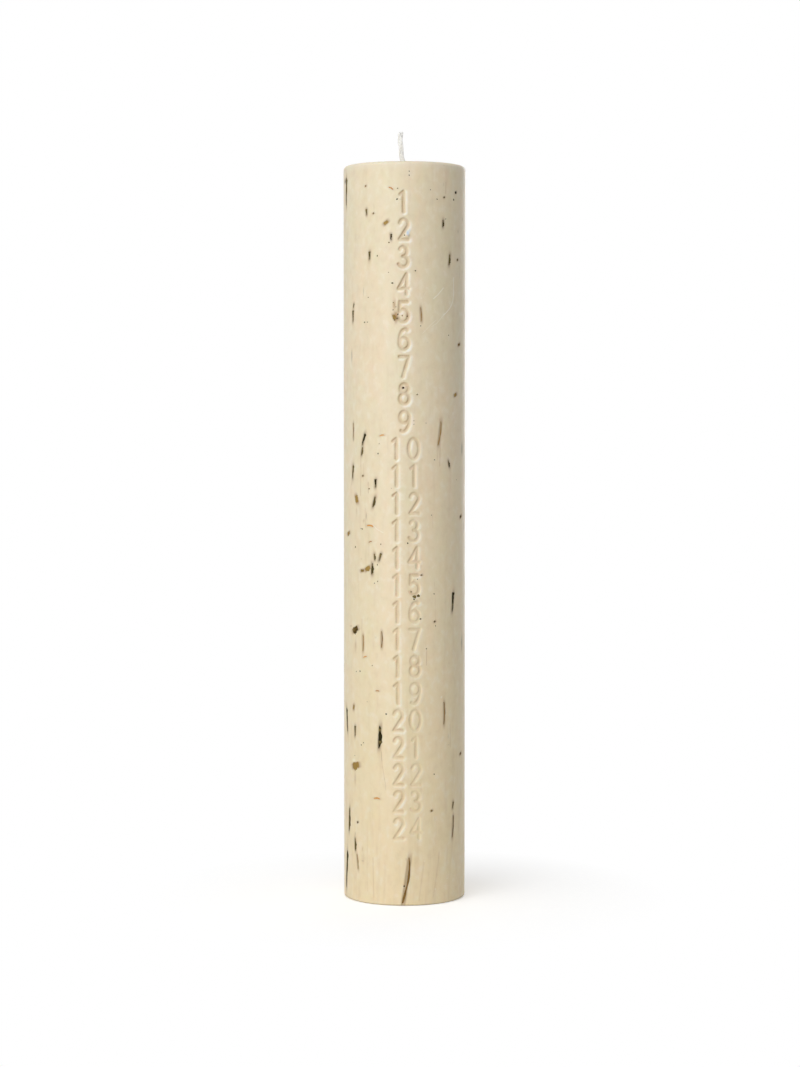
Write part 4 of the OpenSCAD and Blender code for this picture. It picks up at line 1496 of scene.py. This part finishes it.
@dataclass
class PlaitedWick:
    """Three strands of cotton yarn, plaited flat, standing out of the wax and leaning left."""

    finish: WaxedCotton = WaxedCotton()
    root: float = HEIGHT
    free: float = 14.2 * MM
    # The strands start this deep in the wax and end this far from the plait's full length
    sunk: float = 3 * MM
    cut: Size = (0.0, -0.5 * MM, -0.25 * MM)
    # How far the plait's middle is off the bore's where it leaves the wax, and leans on
    aside: float = -0.3 * MM
    lean: float = 1.5 * MM
    # Height from lobe to lobe and of the first, and how far a strand sways across and back
    lobe_step: float = 6.6 * MM
    first_lobe: float = 4.6 * MM
    sway: float = 0.56 * MM
    cross: float = 0.24 * MM
    # Half the width and depth of a strand, and the length round it on its UV map
    strand_wide: float = 0.54 * MM
    strand_thick: float = 0.42 * MM
    girth: float = 3 * MM
    # Yarns round a strand, the length in which they turn once, and how deep they are grooved
    yarns: int = 7
    yarn_turn: float = 2.4 * MM
    groove: float = 0.09
    # A cut end: how many rings of it are drawn in, by what share, and how high it rounds up
    drawn_rings: int = 4
    drawn_in: float = 0.45
    crown: float = 0.12 * MM
    # The plain length inside the wax: its radius, its height above the floor, and how far
    # under the top of the wax it ends
    core: float = 1.12 * MM
    buried_end: float = 0.5 * MM
    core_end: float = 1.2 * MM
    # Points in each ring of a strand, and the height from ring to ring
    sides: int = 28
    step: float = 0.16 * MM
    # A loose fibre: its length, and its thickness and bend as shares of that
    fibre_length: float = 0.55 * MM
    fibre_thin: float = 0.035
    fibre_bend: float = 0.22
    # Loose fibres on a square metre of strand, how many times as many there are at the cut
    # end, and how far down that reaches
    fibres: float = 1.6e6
    frayed_more: float = 14.0
    frayed: float = 0.45 * MM
    seed: int = 24

    def middle(self, up: float) -> float:
        """Gives how far the plait's middle leans at a height.

        Args:
            up: Height above the wax.

        Returns:
            Its place along X.
        """
        t = min(max(up / self.free, 0.0), 1.0)
        return self.aside - self.lean * (math.sin(1.9 * t) - 0.12 * t * t)

    def strand(self, which: int) -> tuple[list, list, list]:
        """Sweeps one strand with its yarn grooves.

        Args:
            which: Number of the strand from 0 to 2.

        Returns:
            Points, faces, and the lay coordinates of each face's corners.
        """
        low, high = -self.sunk, self.free + self.cut[which]
        rings = round((high - low) / self.step)
        points, lay = [], []
        for ring in range(rings + 1):
            up = low + (high - low) * ring / rings
            turns = (up - self.first_lobe) / (3 * self.lobe_step) + which / 3
            phase = 2 * math.pi * turns - math.pi / 2
            x = self.middle(up) + self.sway * math.sin(phase)
            y = self.cross * math.sin(2 * phase)
            drawn = max(0.0, (ring - rings + self.drawn_rings) / self.drawn_rings)
            for k in range(self.sides):
                angle = 2 * math.pi * k / self.sides
                twist = self.yarns * angle + 2 * math.pi * up / self.yarn_turn
                size = 1 - self.groove * abs(math.sin(twist / 2)) ** 0.7
                size *= 1 - self.drawn_in * drawn**2
                out = self.strand_wide * size * math.cos(angle)
                back = self.strand_thick * size * math.sin(angle)
                points.append((x + out, y + back, self.root + up))
        faces = ring_faces(rings + 1, self.sides)
        for ring in range(rings):
            down, up = ring * self.step, (ring + 1) * self.step
            for k in range(self.sides):
                left, right = (self.girth * n / self.sides for n in (k, k + 1))
                lay.append([(left, down), (right, down), (right, up), (left, up)])
        for first, rise in ((0, 0.0), (rings * self.sides, self.crown)):
            middle = len(points)
            x, y, z = np.mean(points[first : first + self.sides], axis=0)
            points.append((x, y, z + rise))
            for k in range(self.sides):
                face = (first + k, first + (k + 1) % self.sides, middle)
                faces.append(face if rise else face[::-1])
                lay.append([(0.0, 0.0)] * 3)
        return points, faces, lay

    def hidden_core(self) -> tuple[list, list, list]:
        """Makes the length inside the wax, down to the sustainer, as a plain round.

        Returns:
            Points, faces and lay coordinates, as strand gives them.
        """
        turns = [2 * math.pi * k / self.sides for k in range(self.sides)]
        points = [
            (self.core * math.cos(turn), self.core * math.sin(turn), height)
            for height in (self.buried_end, self.root - self.core_end)
            for turn in turns
        ]
        faces = ring_faces(2, self.sides)
        faces += [tuple(range(self.sides))[::-1], tuple(range(self.sides, 2 * self.sides))]
        return points, faces, [[(0.0, 0.0)] * len(face) for face in faces]

    def fibre(self) -> bpy.types.Object:
        """Makes the loose fibre that is repeated: a thin bent hair of unit length.

        Returns:
            Object that holds it, standing along Z.
        """
        points = []
        for t in (0, 1 / 3, 2 / 3, 1):
            thin, bend = self.fibre_thin * (1 - 0.7 * t), self.fibre_bend * t * t
            for angle in (2 * math.pi * k / 3 for k in range(3)):
                points.append((thin * math.cos(angle) + bend, thin * math.sin(angle), t))
        faces = ring_faces(4, 3) + [(2, 1, 0), (9, 10, 11)]
        return new_object("fibre", mesh_from("fibre", points, faces))

    def fray_tree(self) -> Shaping:
        """Builds the tree that sets loose fibres on the strands and thickly at their ends.

        Returns:
            The tree.
        """
        sizes = {"Fibres": "Float", "Length": "Float", "Wax top": "Float", "Frayed above": "Float"}
        shaping = Shaping("fray_cotton", {"Fibre": "Object", **sizes, "Seed": "Int"})
        add, given = shaping.add, shaping.given
        place = add("GeometryNodeInputPosition", {})
        height = add("ShaderNodeSeparateXYZ", {0: place}, "Z")
        fibre = add("GeometryNodeObjectInfo", {"Object": given("Fibre")}, "Geometry")
        joined = add("GeometryNodeJoinGeometry", {0: given("Geometry")})
        ends = (("Frayed above", self.frayed_more, 0.85), ("Wax top", 1.0, 0.35))
        for above, more, steep in ends:
            crowd = add("ShaderNodeMath", {0: given("Fibres"), 1: more}, operation="MULTIPLY")
            spread = {
                "Mesh": given("Geometry"),
                "Selection": add("FunctionNodeCompare", {0: height, 1: given(above)}),
                "Density": crowd,
                "Seed": given("Seed"),
            }
            roots = add("GeometryNodeDistributePointsOnFaces", spread)
            wander = {0: (-0.4, -0.4, -0.3), 1: (0.4, 0.4, 0.3), "Seed": given("Seed")}
            wander = add("FunctionNodeRandomValue", wander, "Value", data_type="FLOAT_VECTOR")
            outward = {0: roots.node.outputs["Normal"], "Scale": 1 - steep}
            heading = add("ShaderNodeVectorMath", outward, operation="SCALE")
            heading = add("ShaderNodeVectorMath", {0: heading, 1: (0.0, 0.0, steep)})
            heading = add("ShaderNodeVectorMath", {0: heading, 1: wander})
            facing = add("FunctionNodeAlignRotationToVector", {"Vector": heading})
            share = {"Min": 0.35, "Max": 1.0, "Seed": given("Seed")}
            share = add("FunctionNodeRandomValue", share, "Value", data_type="FLOAT")
            size = add("ShaderNodeMath", {0: share, 1: given("Length")}, operation="MULTIPLY")
            laid = {"Points": roots, "Instance": fibre, "Rotation": facing, "Scale": size}
            hairs = add("GeometryNodeInstanceOnPoints", laid)
            shaping.tree.links.new(hairs, joined.node.inputs[0])
        shaping.finish(joined)
        return shaping

    def build(self) -> bpy.types.Object:
        """Plaits the strands, frays them and dresses the wick.

        Returns:
            The finished wick.
        """
        points, faces, lay = [], [], []
        for part in [self.strand(k) for k in range(3)] + [self.hidden_core()]:
            first = len(points)
            points += part[0]
            faces += [tuple(first + n for n in face) for face in part[1]]
            lay += part[2]
        mesh = mesh_from("strands", points, faces)
        layer = mesh.uv_layers.new(name="lay")
        corners = np.array([corner for face in lay for corner in face], np.float32)
        layer.data.foreach_set("uv", corners.ravel())
        return self.fray_tree().bake(
            "plaited_wick",
            new_object("strands", mesh),
            {
                "Fibre": self.fibre(),
                "Fibres": self.fibres,
                "Length": self.fibre_length,
                "Wax top": self.root,
                "Frayed above": self.root + self.free - self.frayed,
                "Seed": self.seed,
                "Material": self.finish.make(),
            },
        )


# The studio


@dataclass(frozen=True)
class Softbox:
    """A square of soft studio light that looks at the middle of the candle.

    Its angles are in degrees, from straight ahead and from level.
    """

    name: str
    azimuth: float
    elevation: float
    distance: float
    size: float
    watts: float


@dataclass
class Studio:
    """White sweep, soft lights and the camera of the photograph."""

    lights: tuple[Softbox, ...] = (
        Softbox("key", -30, 6, 1.1, 0.6, 4.7),
        Softbox("top", -30, 65, 1.2, 0.8, 4.6),
        Softbox("back", 168, 8, 1.3, 0.8, 4.0),
    )
    ambient: float = 0.34
    # Height on the candle that the softboxes look at
    aim: float = 150 * MM
    floor_paint: str = "#F6F6F6"
    floor_half: float = 6.0
    floor_height: float = -0.05 * MM
    # Light that the camera sees the floor give off, so that only the shadow is darker
    floor_lift: float = 0.34
    # Distances from the candle's foot at which the shadow starts to fade and is gone
    shadow_from: float = 40 * MM
    shadow_end: float = 110 * MM
    lens_mm: float = 83.6
    sensor_mm: float = 36.0
    camera_place: Size = (0.0, -1.020, 0.1963)
    # Degrees that the camera looks down and turns to the left
    camera_down: float = 2.61
    camera_left: float = 0.1025

    def seen(self, tree: bpy.types.NodeTree) -> bpy.types.NodeSocket:
        """Tells rays that show a thing directly, in a mirror or through glass.

        Args:
            tree: Node tree that needs to know.

        Returns:
            Socket that is 1 for such a ray.
        """
        seen = add_node(tree, "ShaderNodeLightPath", {}, "Is Camera Ray")
        rays = seen.node.outputs
        for name in ("Is Glossy Ray", "Is Transmission Ray"):
            either = {0: seen, 1: rays[name]}
            seen = add_node(tree, "ShaderNodeMath", either, operation="MAXIMUM")
        return seen

    def world(self) -> None:
        """Sets a white backdrop for the camera and reflections, and a plain even light."""
        world = bpy.data.worlds.new("white_sweep")
        world.use_nodes = True
        world.node_tree.nodes.clear()
        add = partial(add_node, world.node_tree)
        even = add("ShaderNodeBackground", {0: WHITE, 1: self.ambient})
        white = add("ShaderNodeBackground", {0: WHITE, 1: 1.0})
        mix = add("ShaderNodeMixShader", {0: self.seen(world.node_tree), 1: even, 2: white})
        add("ShaderNodeOutputWorld", {"Surface": mix})
        bpy.context.scene.world = world

    def floor(self) -> bpy.types.Object:
        """Lays the pale floor, which shows white to the camera but keeps the shadow.

        Returns:
            The floor.
        """
        half, low = self.floor_half, self.floor_height
        points = [(-half, -half, low), (half, -half, low), (half, half, low), (-half, half, low)]
        floor = new_object("pale_floor", mesh_from("pale_floor", points, [(0, 1, 2, 3)]))
        finish = Finish("pale_floor")
        add, tree = finish.add, finish.material.node_tree
        place = add("ShaderNodeTexCoord", {}, "Object")
        distance = add("ShaderNodeVectorMath", {0: place}, "Value", operation="LENGTH")
        outward = {0: distance, 1: self.shadow_from, 2: self.shadow_end, 3: 0.0, 4: 1.0}
        far, seen = add("ShaderNodeMapRange", outward), self.seen(tree)
        paint = add("ShaderNodeBsdfDiffuse", {"Color": linear(self.floor_paint)})
        lift = add("ShaderNodeEmission", {0: WHITE, 1: self.floor_lift})
        white = add("ShaderNodeEmission", {0: WHITE, 1: 1.0})
        lifted = add("ShaderNodeAddShader", {0: paint, 1: lift})
        near = add("ShaderNodeMixShader", {0: seen, 1: paint, 2: lifted})
        whiten = add("ShaderNodeMath", {0: far, 1: seen}, operation="MULTIPLY")
        mix = add("ShaderNodeMixShader", {0: whiten, 1: near, 2: white})
        add("ShaderNodeOutputMaterial", {"Surface": mix})
        floor.data.materials.append(finish.material)
        return floor

    def hang(self) -> None:
        """Hangs the softboxes round the candle."""
        for box in self.lights:
            lamp = bpy.data.lights.new(box.name, "AREA")
            lamp.shape = "SQUARE"
            lamp.size = box.size
            lamp.energy = box.watts
            turn, rise = math.radians(box.azimuth), math.radians(box.elevation)
            level = math.cos(rise)
            way = Vector((math.sin(turn) * level, -math.cos(turn) * level, math.sin(rise)))
            holder = bpy.data.objects.new(box.name, lamp)
            holder.location = Vector((0, 0, self.aim)) + way * box.distance
            holder.rotation_euler = way.to_track_quat("Z", "Y").to_euler()
            bpy.context.scene.collection.objects.link(holder)

    def camera(self) -> None:
        """Sets the camera at the photograph's eye level and distance."""
        lens = bpy.data.cameras.new("camera")
        lens.lens, lens.sensor_width = self.lens_mm, self.sensor_mm
        holder = bpy.data.objects.new("camera", lens)
        holder.location = self.camera_place
        down, left = math.radians(90 - self.camera_down), math.radians(self.camera_left)
        holder.rotation_euler = (down, 0.0, left)
        bpy.context.scene.collection.objects.link(holder)
        bpy.context.scene.camera = holder


# Assembly

LEAF = DriedPlant("dried_leaf", "#2E2915", "#6A5C36", "#94804E", (0.2, 0.2, 0.9), 0.4)
STEM = DriedPlant("dried_stem", "#513A1B", "#A8844A", "#8F6E3A", (0.14, 0.14, 1.8), 0.45)
BARK = DriedPlant("chopped_bark", "#4B3A1C", "#A3854A", "#BFA267", (0.3, 0.3, 0.6), 0.5)
PETAL = DriedPlant("dried_petal", "#9A5A22", "#DDA057", "#B9763A", (0.2, 0.2, 0.8), 0.5)
SEED = DriedPlant("small_seed", "#2B2616", "#7E6C44", "#5C5438", (0.2, 0.2, 0.3), 0.4)

CRUMBS = (
    CrumbKind("leaf_slivers", "dried_leaf", Form.SLIVER, LEAF, 0.5),
    CrumbKind("stem_pieces", "dried_stem", Form.STEM, STEM, 0.25),
    CrumbKind("bark_crumbs", "bark", Form.CHUNK, BARK, 0.4),
    CrumbKind("petal_crumbs", "dried_petal", Form.PETAL, PETAL, 0.25),
    CrumbKind("seed_specks", "seed", Form.SEED, SEED, 0.2, rows=10),
)


def place_piece(piece: bpy.types.Object, slot: str, node: str = "") -> None:
    """Fixes a finished piece to the candle and reports it.

    Args:
        piece: The piece.
        slot: Material slot that it shows. Not used.
        node: CAD node that it stands in for, if any.
    """
    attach(piece, "root")
    if node:
        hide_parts(node)
    triangles = sum(len(face.vertices) - 2 for face in piece.data.polygons)
    LOG.info("%s: %d triangles", piece.name, triangles)


def main() -> None:
    """Builds the candle and its studio in order."""
    logging.basicConfig(level=logging.INFO, format="%(name)s: %(message)s")
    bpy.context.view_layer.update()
    bpy.context.scene.view_settings.view_transform = "Standard"
    studio = Studio()
    studio.camera()
    studio.world()
    studio.hang()
    studio.floor()

    all_spots: list[Spot] = []
    for kind in CRUMBS:
        spots = kind.spots()
        all_spots += spots
        place_piece(kind.build("laid_" + kind.slot, spots), kind.slot, kind.node)
    specks = CrumbKind("seed_specks", "seed", Form.SEED, SEED, 0.3, rows=6)
    place_piece(specks.build("plant_dust", dust_spots()), "seed")
    place_piece(WaxPillar(all_spots, PressedNumbers()).build(), "wax", "wax_body")
    place_piece(PlaitedWick().build(), "cotton_wick", "wick")

    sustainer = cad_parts["wick_sustainer"]
    tin = StampedTinplate().make()
    for slot in sustainer.material_slots:
        slot.material = tin
    LOG.info("%s: dressed as tinplate", sustainer.name)


if __name__ == "__main__":
    main()
